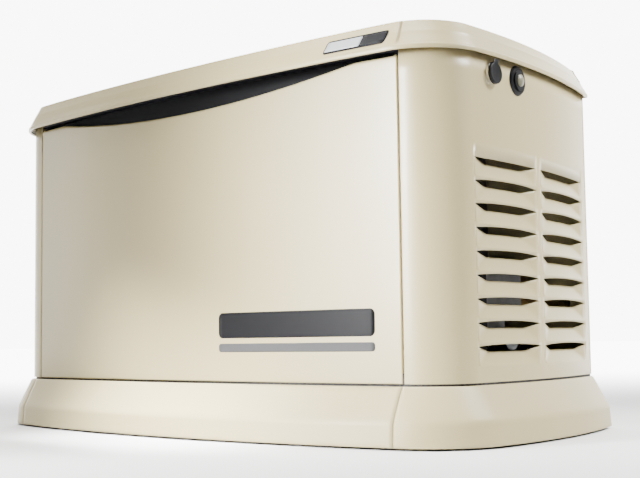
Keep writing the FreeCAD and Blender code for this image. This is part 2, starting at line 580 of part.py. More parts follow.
rod_bar = box("stay_bar", "stay_x-stay_thick", "stay_x", "hinge_y-2*stay_arm", "hinge_y-stay_arm",
              "hinge_z-stay_half_high", "hinge_z+stay_half_high")
rod_ends = [rod("stay_end_%d" % n, "x", "stay_half_high+1.5", "stay_x-stay_thick", "stay_x", at,
                "hinge_z")
            for n, at in enumerate(("hinge_y-2*stay_arm", "hinge_y-stay_arm"))]
rod_pin = rod("stay_tip", "x", "stay_pin", "channel_x-4", "stay_x", "hinge_y-2*stay_arm", "hinge_z")
rod_eye = rod("stay_eye", "x", "stay_pin+stay_fit", "stay_x-stay_thick-5", "stay_x+5", "hinge_y-stay_arm",
              "hinge_z")
piece("stay_rod", cut("stay_rod_cut", fuse("stay_rod_fuse", rod_bar, rod_pin, *rod_ends), rod_eye))

case_leaves, lid_leaves, pins = [], [], []
for tag, centre in (("l", "-hinge_x"), ("r", "hinge_x")):
    first = "%s-hinge_half" % centre
    last = "%s+hinge_half" % centre
    case_parts = [box("case_leaf_" + tag, first, last, "case_rear_y", "case_rear_y+hinge_leaf",
                      "leaf_low", "hinge_z-knuckle-0.6")]
    lid_parts = [box("lid_leaf_" + tag, first, last, "lid_rear_y-skin-hinge_leaf", "lid_rear_y-skin",
                     "hinge_z+knuckle+0.6", "leaf_high")]
    for n in range(5):
        start = "%s+%d*(knuckle_long+knuckle_gap)" % (first, n)
        stop = "%s+knuckle_long" % start
        ring = rod("knuckle_%s%d" % (tag, n), "x", "knuckle", start, stop, "hinge_y", "hinge_z")
        if n % 2 == 0:
            neck = box("neck_%s%d" % (tag, n), start, stop, "case_rear_y", "case_rear_y+hinge_leaf",
                       "hinge_z-knuckle-1", "hinge_z")
            case_parts += [ring, neck]
        else:
            neck = box("neck_%s%d" % (tag, n), start, stop, "lid_rear_y-skin-hinge_leaf",
                       "lid_rear_y-skin",
                       "hinge_z", "hinge_z+knuckle+1")
            lid_parts += [ring, neck]
    case_leaves.append(cut("case_hinge_" + tag, fuse("case_hinge_fuse_" + tag, *case_parts),
                           rod("case_pin_hole_" + tag, "x", "hinge_pin", "%s-1" % first, "%s+1" % last,
                               "hinge_y", "hinge_z")))
    lid_leaves.append(cut("lid_hinge_" + tag, fuse("lid_hinge_fuse_" + tag, *lid_parts),
                          rod("lid_pin_hole_" + tag, "x", "hinge_pin+hinge_fit", "%s-1" % first,
                              "%s+1" % last,
                              "hinge_y", "hinge_z")))
    pins.append(rod("hinge_pin_" + tag, "x", "hinge_pin", first, last, "hinge_y", "hinge_z"))
piece("hinge_case_leaves", group("case_leaf_group", *case_leaves))
piece("hinge_lid_leaves", group("lid_leaf_group", *lid_leaves))
piece("hinge_pins", group("hinge_pin_group", *pins))

hang = common("striker_hang",
              box("striker_plate_box", "striker_x", "striker_x+striker_plate", "striker_front_y",
                  "striker_rear_y", "striker_low", "lid_crown"),
              lid_core)
ledge = box("striker_ledge", "striker_x", "striker_reach", "striker_front_y", "striker_rear_y",
            "striker_low", "striker_low+striker_plate")
piece("lid_striker", fuse("striker_fuse", hang, ledge))

slant = [("badge_left", "badge_low"), ("badge_right-badge_lean", "badge_low"),
         ("badge_right", "badge_high"), ("badge_left+badge_lean", "badge_high")]
badge = common("badge_blank", lid_form("badge_out", "-badge_thick", "lid_low"),
               prism("badge_outline", "XZ", "-400", "-200", slant))
piece("lid_badge", cut("badge_cut", badge, lid_form("badge_in", "0", "lid_low-1")))

# ---------------------------------------------------------------- front panel
panel_ring = case_ring("panel_ring", "0", "panel_skin", "case_low", "panel_high")
panel_cell = box("panel_cell", "-panel_half", "panel_half", "-400", "-200", "case_low-1", "panel_high+1")
face = common("panel_face", panel_ring, panel_cell)
GRIP = "((grip_half^2+(panel_high-grip_low)^2)/(2*(panel_high-grip_low)))"
grip_cut = rod("grip_cut", "y", GRIP, "-400", "-200", "0", "grip_low+" + GRIP)
grip_shelf = common("grip_shelf", tube("grip_tube", "y", GRIP + "+panel_skin", GRIP, "-300", "-200", "0",
                                       "grip_low+" + GRIP),
                    cut("grip_shelf_zone", case_form("grip_zone_out", "panel_skin/2", "600",
                                                     "panel_high"),
                        case_form("grip_zone_in", "panel_skin+panel_return", "599", "panel_high+1")))
grip_shelf = common("grip_shelf_cut", grip_shelf,
                    box("grip_box", "-grip_half-30", "grip_half+30", "-300", "-220",
                                                      "600", "panel_high"))
returns = []
for sign in (-1, 1):
    near, far = ("panel_half-panel_skin", "panel_half") if sign > 0 else ("-panel_half",
                                                                          "panel_skin-panel_half")
    returns.append(box("panel_return_%d" % (sign + 1), near, far, "case_seam_y+0.9",
                       "case_seam_y+panel_return", "panel_return_low", "panel_high-6"))
piece("front_panel", fuse("front_panel_fuse", cut("panel_gripped", face, grip_cut), grip_shelf, *returns))

bar = [("decal_left+decal_round", "decal_low"), ("decal_right-decal_round", "decal_low"),
       ("decal_right", "decal_low+decal_round"), ("decal_right", "decal_high-decal_round"),
       ("decal_right-decal_round", "decal_high"), ("decal_left+decal_round", "decal_high"),
       ("decal_left", "decal_high-decal_round"), ("decal_left", "decal_low+decal_round")]
decal = common("decal_blank", case_form("decal_out", "-decal_thick", "case_low", "case_high"),
               prism("decal_outline", "XZ", "-400", "-200", bar, radii=[None, "decal_round"] * 4))
piece("front_decal", cut("decal_cut", decal, case_form("decal_in", "0", "case_low-1", "case_high+1")))

# ---------------------------------------------------------------- status lamp
rim = document.addObject("Part::Cone", "lamp_rim_cone")
bind(rim, "Radius1", "lamp_rim")
bind(rim, "Radius2", "lamp_rim-3")
bind(rim, "Height", "lamp_rim_high")
locate(rim, "0", "0", "0", (0, 1, 0), "90")
bezel = cut("lamp_bezel_cut",
            fuse("lamp_bezel_fuse", rim, rod("lamp_ring_rod", "x", "lamp_ring", "lamp_rim_high",
                                             "lamp_ring_high", "0", "0"),
                 rod("lamp_back", "x", "lamp_body", "-lamp_body_long", "0", "0", "0")),
            rod("lamp_seat", "x", "lens", "-10", "20", "0", "0"))
piece("lamp_bezel", on_side(bezel, "lamp_y", "lamp_z"))
dome = document.addObject("Part::Sphere", "lens_ball")
bind(dome, "Radius", "16")
bind(dome, "Placement.Base.x", "lens_high-16")
lens = common("lens_cut", rod("lens_rod", "x", "lens", "-10", "lens_high", "0", "0"), dome)
piece("lamp_lens", on_side(lens, "lamp_y", "lamp_z"))

# ---------------------------------------------------------------- lid lock and its dust cover
flange = rod("lock_flange_disc", "x", "lock_flange", "0", "lock_flange_high", "0", "0")
barrel = rod("lock_barrel_rod", "x", "lock_barrel", "-lock_barrel_long", "1", "0", "0")
bore = rod("lock_bore", "x", "lock_plug+lock_fit", "-40", "20", "0", "0")
bored = cut("lock_body_bored", fuse("lock_body_parts", flange, barrel), bore)
cheeks = []
for n, (near, far) in enumerate((("-cover_eye_half-3", "-cover_eye_half"),
                                 ("cover_eye_half", "cover_eye_half+3"))):
    cheeks.append(box("cover_cheek_%d" % n, "0", "cover_pivot_u+cover_eye-0.4", near, far,
                      "lock_flange-2", "cover_pivot_z+cover_eye-0.4"))
pin = rod("cover_pin_rod", "y", "cover_pin", "-cover_eye_half-3", "cover_eye_half+3",
          "cover_pivot_u", "cover_pivot_z")
piece("lock_body", on_side(fuse("lock_body_fuse", bored, *cheeks, pin), "lock_y", "lock_z"))

plug = fuse("lock_plug_fuse",
            rod("lock_plug_rod", "x", "lock_plug", "-lock_barrel_long-0.5", "plug_face", "0", "0"),
            box("lock_cam", "-lock_barrel_long-0.5-cam_plate", "-lock_barrel_long-0.5",
                "-cam_wide/2", "cam_wide/2", "-cam_wide/2", "cam_long"))
keyed = cut("lock_plug_cut", plug, box("key_slot_box", "-12", "10", "-key_slot", "key_slot", "-5", "5"))
piece("lock_plug", on_side(keyed, "lock_y", "lock_z"))

disc = fuse("cover_parts",
            rod("cover_disc", "x", "cover_round-2", "cover_back", "cover_front", "0", "-1"),
            box("cover_neck", "cover_back", "cover_front", "-cover_eye_half+0.4", "cover_eye_half-0.4",
                "8", "cover_pivot_z"),
            rod("cover_eye_rod", "y", "cover_eye-0.6", "-cover_eye_half+0.4", "cover_eye_half-0.4",
                "cover_pivot_u", "cover_pivot_z"))
eyed = cut("cover_cut", disc,
           rod("cover_hole", "y", "cover_pin+0.06", "-20", "20", "cover_pivot_u", "cover_pivot_z"))
piece("lock_cover", on_side(eyed, "lock_y", "lock_z"))

# ---------------------------------------------------------------- engine block
block_outline = [
    ("crank_y-sump_half", "sump_low+10"), ("crank_y+sump_half", "sump_low+10"),
    ("crank_y+(deck+deck_half)*sin(45)", "crank_z+(deck-deck_half)*sin(45)"),
    ("crank_y+(deck-deck_half)*sin(45)", "crank_z+(deck+deck_half)*sin(45)"),
    ("crank_y-(deck-deck_half)*sin(45)", "crank_z+(deck+deck_half)*sin(45)"),
    ("crank_y-(deck+deck_half)*sin(45)", "crank_z+(deck-deck_half)*sin(45)"),
]
block = prism("block", "YZ", "engine_left", "engine_right", block_outline)
feet = box("engine_feet", "engine_left+50", "engine_right-50", "mount_front-mount_round",
           "mount_rear+mount_round",
           "sump_low", "sump_low+12")
neck = rod("filler_neck", "y", "neck_round", "crank_y-sump_half-neck_long", "crank_y", "neck_x", "neck_z")
cavity = rod("crank_cavity", "x", "cavity", "engine_left+engine_wall", "engine_right-engine_wall",
             "crank_y", "crank_z")
sump = box("sump_room", "engine_left+engine_wall", "engine_right-engine_wall",
           "crank_y-sump_half+engine_wall",
           "crank_y+sump_half-engine_wall", "sump_low+20", "crank_z")
shaft_way = rod("shaft_way", "x", "journal+journal_fit", "engine_left-5", "engine_right+5", "crank_y",
                "crank_z")
neck_way = rod("neck_way", "y", "neck_bore", "crank_y-sump_half-neck_long-1", "crank_y-60", "neck_x",
               "neck_z")


def bank(item, x, lean):
    """Set an item built up the z axis from the crank centre onto one cylinder bank."""
    return locate(item, x, "crank_y", "crank_z", (1, 0, 0), lean)


BANKS = (("front", "bank_front_x", "45"), ("rear", "bank_rear_x", "-45"))
bore_ways = [bank(group("bore_way_" + tag,
                        rod("bore_rod_" + tag, "z", "bore", "30", "deck+10", "0", "0")), x, lean)
             for tag, x, lean in BANKS]
piece("crankcase", cut("crankcase_cut", fuse("crankcase_fuse", block, feet, neck),
                       cavity, sump, shaft_way, neck_way, *bore_ways))

barrels, heads, covers, plugs = [], [], [], []
for tag, x, lean in BANKS:
    side = "-1" if tag == "rear" else "1"
    fins = [rod("fin_%s%d" % (tag, n), "z", "fin", "deck+8+%d*fin_pitch" % n,
                "deck+8+%d*fin_pitch+fin_thick" % n,
                "0", "0") for n in range(8)]
    barrel = fuse("barrel_fuse_" + tag, rod("barrel_" + tag, "z", "barrel", "deck", "head_low", "0", "0"),
                  *fins)
    barrel = cut("barrel_cut_" + tag, barrel,
                 rod("barrel_bore_" + tag, "z", "bore", "deck-1", "head_low+1", "0", "0"))
    barrels.append(bank(barrel, x, lean))
    head = box("head_block_" + tag, "-barrel+2", "barrel-2", "-head_half", "head_half", "head_low",
               "head_high")
    slabs = [box("head_fin_%s%d" % (tag, n), "-head_half", "head_half", "-head_half-2", "head_half+2",
                 "head_low+4+%d*fin_pitch" % n,
                 "head_low+4+%d*fin_pitch+fin_thick" % n) for n in range(4)]
    port = box("head_port_" + tag, "-head_half-2", "0", "(%s)*45-18" % side, "(%s)*45+18" % side,
               "head_low+2", "head_high-2")
    hole = rod("plug_hole_" + tag, "y", "plug_radius", "-head_half-5", "-head_half+14", "20",
               "head_low+20")
    head = fuse("head_fuse_" + tag, head, port, *slabs)
    if tag == "rear":
        hole = rod("plug_hole_b_" + tag, "y", "plug_radius", "head_half-14", "head_half+5", "20",
                   "head_low+20")
    heads.append(bank(cut("head_cut_" + tag, head, hole), x, lean))
    lid_box = box("valve_cover_" + tag, "-valve_cover_half", "valve_cover_half", "-valve_cover_half",
                  "valve_cover_half", "head_high", "cover_high")
    bolt = rod("valve_bolt_" + tag, "z", "6", "cover_high", "cover_high+4", "0", "0")
    covers.append(bank(fuse("valve_cover_fuse_" + tag, lid_box, bolt), x, lean))
    first, last = ("-plug_reach", "14-head_half") if tag == "front" else ("head_half-14", "plug_reach")
    grip = ("-plug_reach", "-head_half-2") if tag == "front" else ("head_half+2", "plug_reach")
    spark = fuse("spark_fuse_" + tag,
                 rod("spark_body_" + tag, "y", "plug_radius", first, last, "20", "head_low+20"),
                 rod("spark_boot_" + tag, "y", "plug_radius+3", grip[0], grip[1], "20", "head_low+20"))
    plugs.append(bank(spark, x, lean))
piece("cylinders", group("cylinder_group", *barrels))
head_group = piece("cylinder_heads", group("head_group", *heads))
piece("valve_covers", group("valve_cover_group", *covers))
piece("spark_plugs", group("spark_group", *plugs))

shaft = rod("shaft", "x", "journal", "shaft_left", "shaft_right", "crank_y", "crank_z")
gap = box("crank_gap", "web_left_x+web_thick", "web_right_x", "crank_y-30", "crank_y+30", "crank_z-30",
          "crank_z+30")
webs = []
for tag, x in (("left", "web_left_x"), ("right", "web_right_x")):
    weight = rod("web_round_" + tag, "x", "web_round", x, "%s+web_thick" % x, "crank_y", "crank_z")
    webs.append(weight)
crankpin = rod("crank_pin", "x", "crankpin", "web_left_x+2", "web_right_x+2", "crank_y", "crank_z+28")
nut = rod("shaft_nut", "x", "journal+8", "fan_disc+26", "shaft_right-2", "crank_y", "crank_z")
piece("crankshaft", fuse("crankshaft_fuse", cut("crank_split", shaft, gap), crankpin, nut, *webs))

fan_parts = [rod("fan_plate", "x", "fan_round", "fan_left+6", "fan_disc", "crank_y", "crank_z"),
             rod("fan_boss", "x", "fan_hub", "fan_left", "fan_disc+26", "crank_y", "crank_z")]
for n in range(16):
    blade = group("blade_%d" % n,
                  box("blade_box_%d" % n, "fan_disc-1", "fan_right", "-fan_blade/2", "fan_blade/2",
                                      "fan_inner", "fan_round-3"))
    fan_parts.append(locate(blade, "0", "crank_y", "crank_z", (1, 0, 0), "%d*22.5" % n))
piece("flywheel_fan", cut("flywheel_cut", fuse("flywheel_fuse", *fan_parts),
                          rod("fan_bore", "x", "journal", "fan_left-1", "fan_right+1", "crank_y",
                              "crank_z")))

shell = tube("housing_shell", "x", "housing_round", "housing_round-housing_skin", "housing_left",
             "housing_right",
             "crank_y", "crank_z")
back = tube("housing_back", "x", "housing_round", "journal+12", "housing_left",
            "housing_left+housing_skin",
            "crank_y", "crank_z")
front = tube("housing_front", "x", "housing_round", "housing_eye", "housing_right-housing_skin",
             "housing_right",
             "crank_y", "crank_z")
grille = [tube("grille_ring_%d" % n, "x", "%d" % (28 * n + 28), "%d" % (28 * n + 25),
               "housing_right-housing_skin",
               "housing_right", "crank_y", "crank_z") for n in range(3)]
spokes = [locate(group("spoke_%d" % n,
                       box("spoke_box_%d" % n, "housing_right-housing_skin", "housing_right", "-2", "2",
                                           "-housing_eye-2", "housing_eye+2")),
                 "0", "crank_y", "crank_z", (1, 0, 0), "%d*60" % n) for n in range(3)]
piece("blower_housing", fuse("blower_fuse", shell, back, front, *(grille + spokes)))

starter = fuse("starter_fuse",
               rod("starter_can", "x", "starter_round", "starter_left", "engine_right-14", "starter_y",
                   "starter_z"),
               rod("starter_nose", "x", "starter_round-8", "engine_right-14", "engine_right", "starter_y",
                   "starter_z"),
               rod("starter_relay", "x", "15", "starter_left+10", "starter_left+70", "starter_y-4",
                   "starter_z+48"),
               box("starter_saddle", "starter_left+20", "starter_left+60", "starter_y",
                   "crank_y-sump_half",
                   "starter_z-14", "starter_z+14"))
piece("starter_motor", starter)
piece("oil_filter", fuse("oil_filter_fuse",
                         rod("filter_can", "y", "filter_round", "crank_y-sump_half-filter_long",
                             "crank_y-sump_half-6", "filter_x", "filter_z"),
                         rod("filter_base", "y", "filter_round-6", "crank_y-sump_half-6",
                             "crank_y-sump_half",
                             "filter_x", "filter_z")))
cap = fuse("oil_cap_fuse",
           rod("cap_top", "y", "cap_round", "crank_y-sump_half-neck_long-0.2-cap_long",
               "crank_y-sump_half-neck_long-0.2", "neck_x", "neck_z"),
           rod("cap_stem_rod", "y", "cap_stem", "crank_y-sump_half-neck_long-1", "crank_y-sump_half-8",
               "neck_x", "neck_z"),
           box("cap_grip", "neck_x-cap_round+3", "neck_x+cap_round-3",
               "crank_y-sump_half-neck_long-0.2-cap_long-8",
               "crank_y-sump_half-neck_long-cap_long", "neck_z-4", "neck_z+4"))
piece("oil_cap", cap)

mix = fuse("mixer_parts",
           rod("mixer_pipe", "z", "mixer_neck", "crank_z+(deck+deck_half)*sin(45)", "mixer_low+1",
               "mixer_x", "crank_y"),
           rod("mixer_body", "z", "mixer_round", "mixer_low", "mixer_high", "mixer_x", "crank_y"),
           rod("mixer_stub", "x", "mixer_stub", "mixer_x", "mixer_x+52", "crank_y", "mixer_stub_z"),
           rod("runner_front", "y", "runner", "crank_y-95", "crank_y", "bank_front_x", "runner_z"),
           rod("runner_rear", "y", "runner", "crank_y", "crank_y+95", "bank_rear_x", "runner_z"))
piece("mixer", cut("mixer_cut", mix, head_group))
tray = box("cleaner_tray", "cleaner_left", "cleaner_right", "cleaner_front_y", "cleaner_rear_y",
           "mixer_high", "cleaner_split")
top = box("cleaner_top", "cleaner_left-4", "cleaner_right+4", "cleaner_front_y-4", "cleaner_rear_y+4",
          "cleaner_split", "cleaner_high")
piece("air_cleaner", cut("air_cleaner_cut", fuse("air_cleaner_fuse", tray, top),
                         box("cleaner_room", "cleaner_left+cleaner_wall", "cleaner_right-cleaner_wall",
                             "cleaner_front_y+cleaner_wall", "cleaner_rear_y-cleaner_wall",
                             "mixer_high+cleaner_wall", "cleaner_high-cleaner_wall"),
                         rod("cleaner_inlet", "z", "mixer_neck", "mixer_high-1", "mixer_high+10",
                             "mixer_x", "crank_y")))

# ---------------------------------------------------------------- exhaust
can = tube("muffler_can", "y", "muffler_round", "muffler_round-muffler_skin", "muffler_front_y+3",
           "muffler_rear_y-3", "muffler_x", "muffler_z")
ends = [rod("muffler_end_%d" % n, "y", "muffler_round", a, b, "muffler_x", "muffler_z")
        for n, (a, b) in enumerate((("muffler_front_y", "muffler_front_y+3.5"),
                                    ("muffler_rear_y-3.5", "muffler_rear_y")))]
runs, ways = [], []
for tag, x, sign in (("front", "bank_front_x", "-"), ("rear", "bank_rear_x", "+")):
    start = "%s-head_half-2" % x
    y = "crank_y%sport_out" % sign
    runs.append(rod("exhaust_" + tag, "x", "pipe", "muffler_x+62", start, y, "crank_z+port_up"))
    runs.append(rod("exhaust_flange_" + tag, "x", "pipe+5", "%s-5" % start, start, y, "crank_z+port_up"))
    ways.append(rod("exhaust_way_" + tag, "x", "pipe_bore", "muffler_x+40", "%s+1" % start, y,
                    "crank_z+port_up"))
tail = rod("tail", "x", "pipe+2", "tail_left", "muffler_x-muffler_round+6", "crank_y", "muffler_z")
ways.append(rod("tail_way", "x", "pipe_bore+2", "tail_left-1", "muffler_x-muffler_round+10", "crank_y",
                "muffler_z"))
legs = []
for sign in ("-", "+"):
    leg = box("muffler_leg_" + ("a" if sign == "-" else "b"), "muffler_x-40", "muffler_x+40",
              "crank_y%smuffler_foot_y-foot_plate/2" % sign,
              "crank_y%smuffler_foot_y+foot_plate/2" % sign,
              "pan_top", "muffler_z-muffler_round+12")
    legs.append(cut("muffler_leg_cut_" + ("a" if sign == "-" else "b"), leg,
                    rod("muffler_leg_bite_" + ("a" if sign == "-" else "b"), "y", "muffler_round-1",
                        "-300", "300",
                        "muffler_x", "muffler_z")))
piece("muffler", cut("muffler_cut", fuse("muffler_fuse", can, tail, *(ends + runs + legs)), *ways))

# ---------------------------------------------------------------- alternator
stack = tube("stator_stack", "x", "stator_round", "stator_bore", "stator_left", "stator_right", "crank_y",
             "crank_z")
bell = tube("stator_bell", "x", "stator_round", "stator_round-bell_wall", "stator_right-1", "engine_left",
            "crank_y", "crank_z")
ribs = [rod("stator_rib_%d" % n, "x", "7", "stator_left", "engine_left",
            "crank_y+(stator_round+3)*cos(%d)" % a, "crank_z+(stator_round+3)*sin(%d)" % a)
        for n, a in enumerate((45, 135, 225, 315))]
piece("stator_frame", fuse("stator_fuse", stack, bell, *ribs))
rotor = cut("rotor_cut", rod("rotor_round", "x", "rotor_round", "rotor_left", "rotor_right", "crank_y",
                             "crank_z"),
            rod("rotor_bore", "x", "journal", "rotor_left-1", "rotor_right+1", "crank_y", "crank_z"),
            *[box("rotor_slot_%d" % n, "rotor_left-1", "rotor_right+1", "crank_y-26", "crank_y+26", a, b)
              for n, (a, b) in enumerate((("crank_z+62", "crank_z+100"), ("crank_z-100", "crank_z-62")))])
piece("rotor", rotor)
plate = rod("end_plate", "x", "stator_round", "end_left", "stator_left", "crank_y", "crank_z")
room = rod("end_room", "x", "stator_bore", "end_left+12", "stator_left+1", "crank_y", "crank_z")
vents = [locate(group("end_vent_%d" % n,
                      box("end_vent_box_%d" % n, "end_left-5", "end_left+20", "-9", "9", "48", "76")),
                "0", "crank_y", "crank_z", (1, 0, 0), "%d*45+22.5" % n) for n in range(8)]
foot = box("end_foot", "end_left", "stator_left", "crank_y-end_foot_half", "crank_y+end_foot_half",
           "sump_low", "crank_z-110")
piece("end_bracket", cut("end_bracket_cut", fuse("end_bracket_fuse", plate, foot), room,
                         rod("end_bearing_way", "x", "journal+journal_fit", "end_left-5", "stator_left+5",
                             "crank_y", "crank_z"),
                         *vents))
piece("isolators", group("isolator_group", *[
    rod("isolator_%d" % n, "z", "mount_round", "pan_top", "sump_low", x, y)
    for n, (x, y) in enumerate((("mount_engine_x", "mount_front"), ("mount_engine_x", "mount_rear"),
                                ("mount_end_x", "mount_end_front"), ("mount_end_x", "mount_end_rear")))]))

# ---------------------------------------------------------------- battery
case = box("battery_case", "battery_left", "battery_right", "battery_front_y", "battery_rear_y",
           "pan_top", "battery_high")
terminals = [rod("battery_post_%d" % n, "z", "post_round", "battery_high", "battery_high+post_high", x,
                 "battery_rear_y-28")
             for n, x in enumerate(("battery_left+30", "battery_right-30"))]
piece("battery", fuse("battery_fuse", case, *terminals))
strap = cut("strap_cut",
            box("strap_out", "strap_x", "strap_x+strap_wide", "battery_front_y-strap_plate",
                "battery_rear_y+strap_plate",
                "pan_top", "battery_high+strap_plate"),
            box("strap_in", "strap_x-1", "strap_x+strap_wide+1", "battery_front_y", "battery_rear_y",
                "pan_top-1", "battery_high"))
piece("battery_strap", strap)

# ---------------------------------------------------------------- controller, keys and breaker
control_outline = [("control_front_y", "control_low"), ("control_rear_y", "control_low"),
                   ("control_rear_y", "control_high"),
                   ("control_front_y+control_slope", "control_high"),
                   ("control_front_y", "control_high-control_slope")]
room_outline = [("control_front_y+control_skin", "control_low+control_skin"),
                ("control_rear_y-control_skin", "control_low+control_skin"),
                ("control_rear_y-control_skin", "control_high-control_skin"),
                ("control_front_y+control_slope+control_skin/2", "control_high-control_skin"),
                ("control_front_y+control_skin", "control_high-control_slope-control_skin/2")]
shell = cut("control_shell", prism("control_out", "YZ", "divider_x+divider_plate", "control_right",
                                   control_outline),
            prism("control_in", "YZ", "divider_x+divider_plate+control_skin",
                  "control_right-control_skin", room_outline))
FACE_Y = "control_front_y+control_slope/2"
FACE_Z = "control_high-control_slope/2"


def on_face(item, x):
    """Set an item built around its z axis onto the sloping controller face."""
    return locate(item, x, FACE_Y, FACE_Z, (1, 0, 0), "45")


KEYS = ("key_auto", "key_off", "key_manual")
key_ways = [on_face(group("key_way_%d" % n,
                          rod("key_way_rod_%d" % n, "z", "key_round+key_fit", "-10", "10", "0", "0")),
                    "key_x+%d*key_pitch" % n) for n in range(3)]
piece("controller_box", cut("controller_cut", shell, *key_ways))
for n, label in enumerate(KEYS):
    key = fuse("key_fuse_%d" % n,
               rod("key_rod_%d" % n, "z", "key_round", "-key_deep", "key_proud", "0", "0"),
               rod("key_skirt_%d" % n, "z", "key_round+2", "-key_deep", "-key_deep+2", "0", "0"))
    piece(label, on_face(key, "key_x+%d*key_pitch" % n))
screen = box("screen_box", "-screen_wide/2", "screen_wide/2", "-screen_tall/2", "screen_tall/2", "0",
             "screen_thick")
piece("controller_screen", on_face(group("screen_group", screen), "screen_x"))

body = box("breaker_box", "divider_x+divider_plate", "breaker_right", "breaker_front_y", "breaker_rear_y",
           "breaker_low", "breaker_high")
well = box("breaker_well", "toggle_x-toggle_half-1", "toggle_x+toggle_half+1", "-45-24", "-45+24",
           "breaker_high-24", "breaker_high+1")
axle = rod("toggle_axle", "x", "toggle_pin", "toggle_x-toggle_half-4", "toggle_x+toggle_half+4", "-45",
           "toggle_z")
piece("breaker_body", fuse("breaker_fuse", cut("breaker_cut", body, well), axle))
toggle = fuse("toggle_parts",
              rod("toggle_drum", "x", "toggle_hub", "-toggle_half", "toggle_half", "0", "0"),
              box("toggle_lever", "-toggle_half+3", "toggle_half-3", "-4", "4", "0", "toggle_high"))
toggle = cut("toggle_cut", toggle,
             rod("toggle_eye", "x", "toggle_pin+toggle_fit", "-toggle_half-5", "toggle_half+5", "0", "0"))
piece("breaker_toggle", locate(toggle, "toggle_x", "-45", "toggle_z", (1, 0, 0), "-toggle_lean"))

# ---------------------------------------------------------------- gas train and entries
body = box("regulator_box", "regulator_left", "regulator_right", "regulator_front_y", "regulator_rear_y",
           "regulator_low+24", "regulator_high")
drum = rod("regulator_drum", "z", "regulator_cap", "regulator_low", "regulator_low+24",
           "(regulator_left+regulator_right)/2", "crank_y")
spigot = rod("regulator_spigot", "z", "hose_bore", "regulator_high", "regulator_high+26", "hose_x",
             "crank_y")
knob_seat = rod("knob_seat", "z", "knob_stem+knob_fit", "regulator_high-12", "regulator_high+1", "knob_x",
                "crank_y")
piece("regulator", cut("regulator_cut", fuse("regulator_fuse", body, drum, spigot), knob_seat))
knob = fuse("knob_fuse", rod("knob_disc", "z", "knob_round", "regulator_high+0.5",
                             "regulator_high+0.5+knob_high", "knob_x", "crank_y"),
            rod("knob_stem_rod", "z", "knob_stem", "regulator_high-11", "regulator_high+1", "knob_x",
                "crank_y"),
            box("knob_pointer", "knob_x-2", "knob_x+2", "crank_y-knob_round-4", "crank_y",
                "regulator_high+8", "regulator_high+20"))
piece("fuel_knob", knob)


def hose_sweep(name, radius):
    level = "regulator_high"
    path = sketch_on(name + "_path", "XZ", "crank_y")
    bend_x, bend_z = "hose_x-hose_bend", "mixer_stub_z-hose_bend"
    spots = [("hose_x", level), ("hose_x", bend_z), (bend_x, "mixer_stub_z"),
             ("mixer_x+mixer_round+2", "mixer_stub_z")]
    points = [FreeCAD.Vector(val(x), val(z), 0) for x, z in spots]
    centre = FreeCAD.Vector(val(bend_x), val(bend_z), 0)
    knee = centre + FreeCAD.Vector(1, 1, 0).normalize() * val("hose_bend")
    path.addGeometry(Part.LineSegment(points[0], points[1]))
    path.addGeometry(Part.Arc(points[1], knee, points[2]))
    path.addGeometry(Part.LineSegment(points[2], points[3]))
    arc_start = path.Geometry[1].StartPoint
    first, last = (1, 2) if arc_start.distanceToPoint(points[1]) < 0.01 else (2, 1)
    path.addConstraint(Sketcher.Constraint("Tangent", 0, 2, 1, first))
    path.addConstraint(Sketcher.Constraint("Tangent", 1, last, 2, 1))
    fixed = ((0, 1, "DistanceX", spots[0][0]), (0, 1, "DistanceY", level), (2, 2, "DistanceX", spots[3][0]),
             (2, 2, "DistanceY", "mixer_stub_z"))
    path.addConstraint(Sketcher.Constraint("Vertical", 0))
    path.addConstraint(Sketcher.Constraint("Horizontal", 2))
    for line, end, kind, text in fixed:
        index = path.addConstraint(Sketcher.Constraint(kind, -1, 1, line, end, val(text)))
        bind(path, "Constraints[%d]" % index, text)
    index = path.addConstraint(Sketcher.Constraint("Radius", 1, val("hose_bend")))
    bind(path, "Constraints[%d]" % index, "hose_bend")
    ring = sketch_on(name + "_ring", "XY", level)
    ring.addGeometry(Part.Circle(FreeCAD.Vector(val("hose_x"), val("crank_y"), 0),
                                 FreeCAD.Vector(0, 0, 1), val(radius)))
    for index, (kind, text) in enumerate((("DistanceX", "hose_x"), ("DistanceY", "crank_y"))):
        ring.addConstraint(Sketcher.Constraint(kind, -1, 1, 0, 3, val(text)))
        bind(ring, "Constraints[%d]" % index, text)
    ring.addConstraint(Sketcher.Constraint("Radius", 0, val(radius)))
    bind(ring, "Constraints[2]", radius)
    item = document.addObject("Part::Sweep", name)
    item.Sections = [ring]
    item.Spine = path
    item.Solid = True
    item.Frenet = False
    return item


piece("fuel_hose", cut("fuel_hose_cut", hose_sweep("hose_out", "hose_round"),
                       hose_sweep("hose_in", "hose_bore")))
pipe = fuse("inlet_fuse", rod("inlet_pipe", "y", "inlet_round", "regulator_rear_y", "inlet_end_y",
                              "inlet_x", "inlet_z"),
            rod("inlet_nut", "y", "inlet_nut", "case_rear_y-skin-9", "case_rear_y-skin", "inlet_x",
                "inlet_z"))
piece("fuel_inlet", cut("inlet_cut", pipe,
                        rod("inlet_way", "y", "inlet_bore", "regulator_rear_y+5", "inlet_end_y+1",
                            "inlet_x", "inlet_z")))
hub = fuse("conduit_fuse", rod("conduit_pipe", "y", "conduit_round", "conduit_end_y-conduit_long",
                               "conduit_end_y", "conduit_x", "conduit_z"),
           rod("conduit_nut", "y", "conduit_nut", "case_rear_y-skin-6", "case_rear_y-skin", "conduit_x",
               "conduit_z"))
piece("conduit_hub", cut("conduit_cut", hub,
                         rod("conduit_way", "y", "conduit_bore", "0", "500", "conduit_x", "conduit_z")))

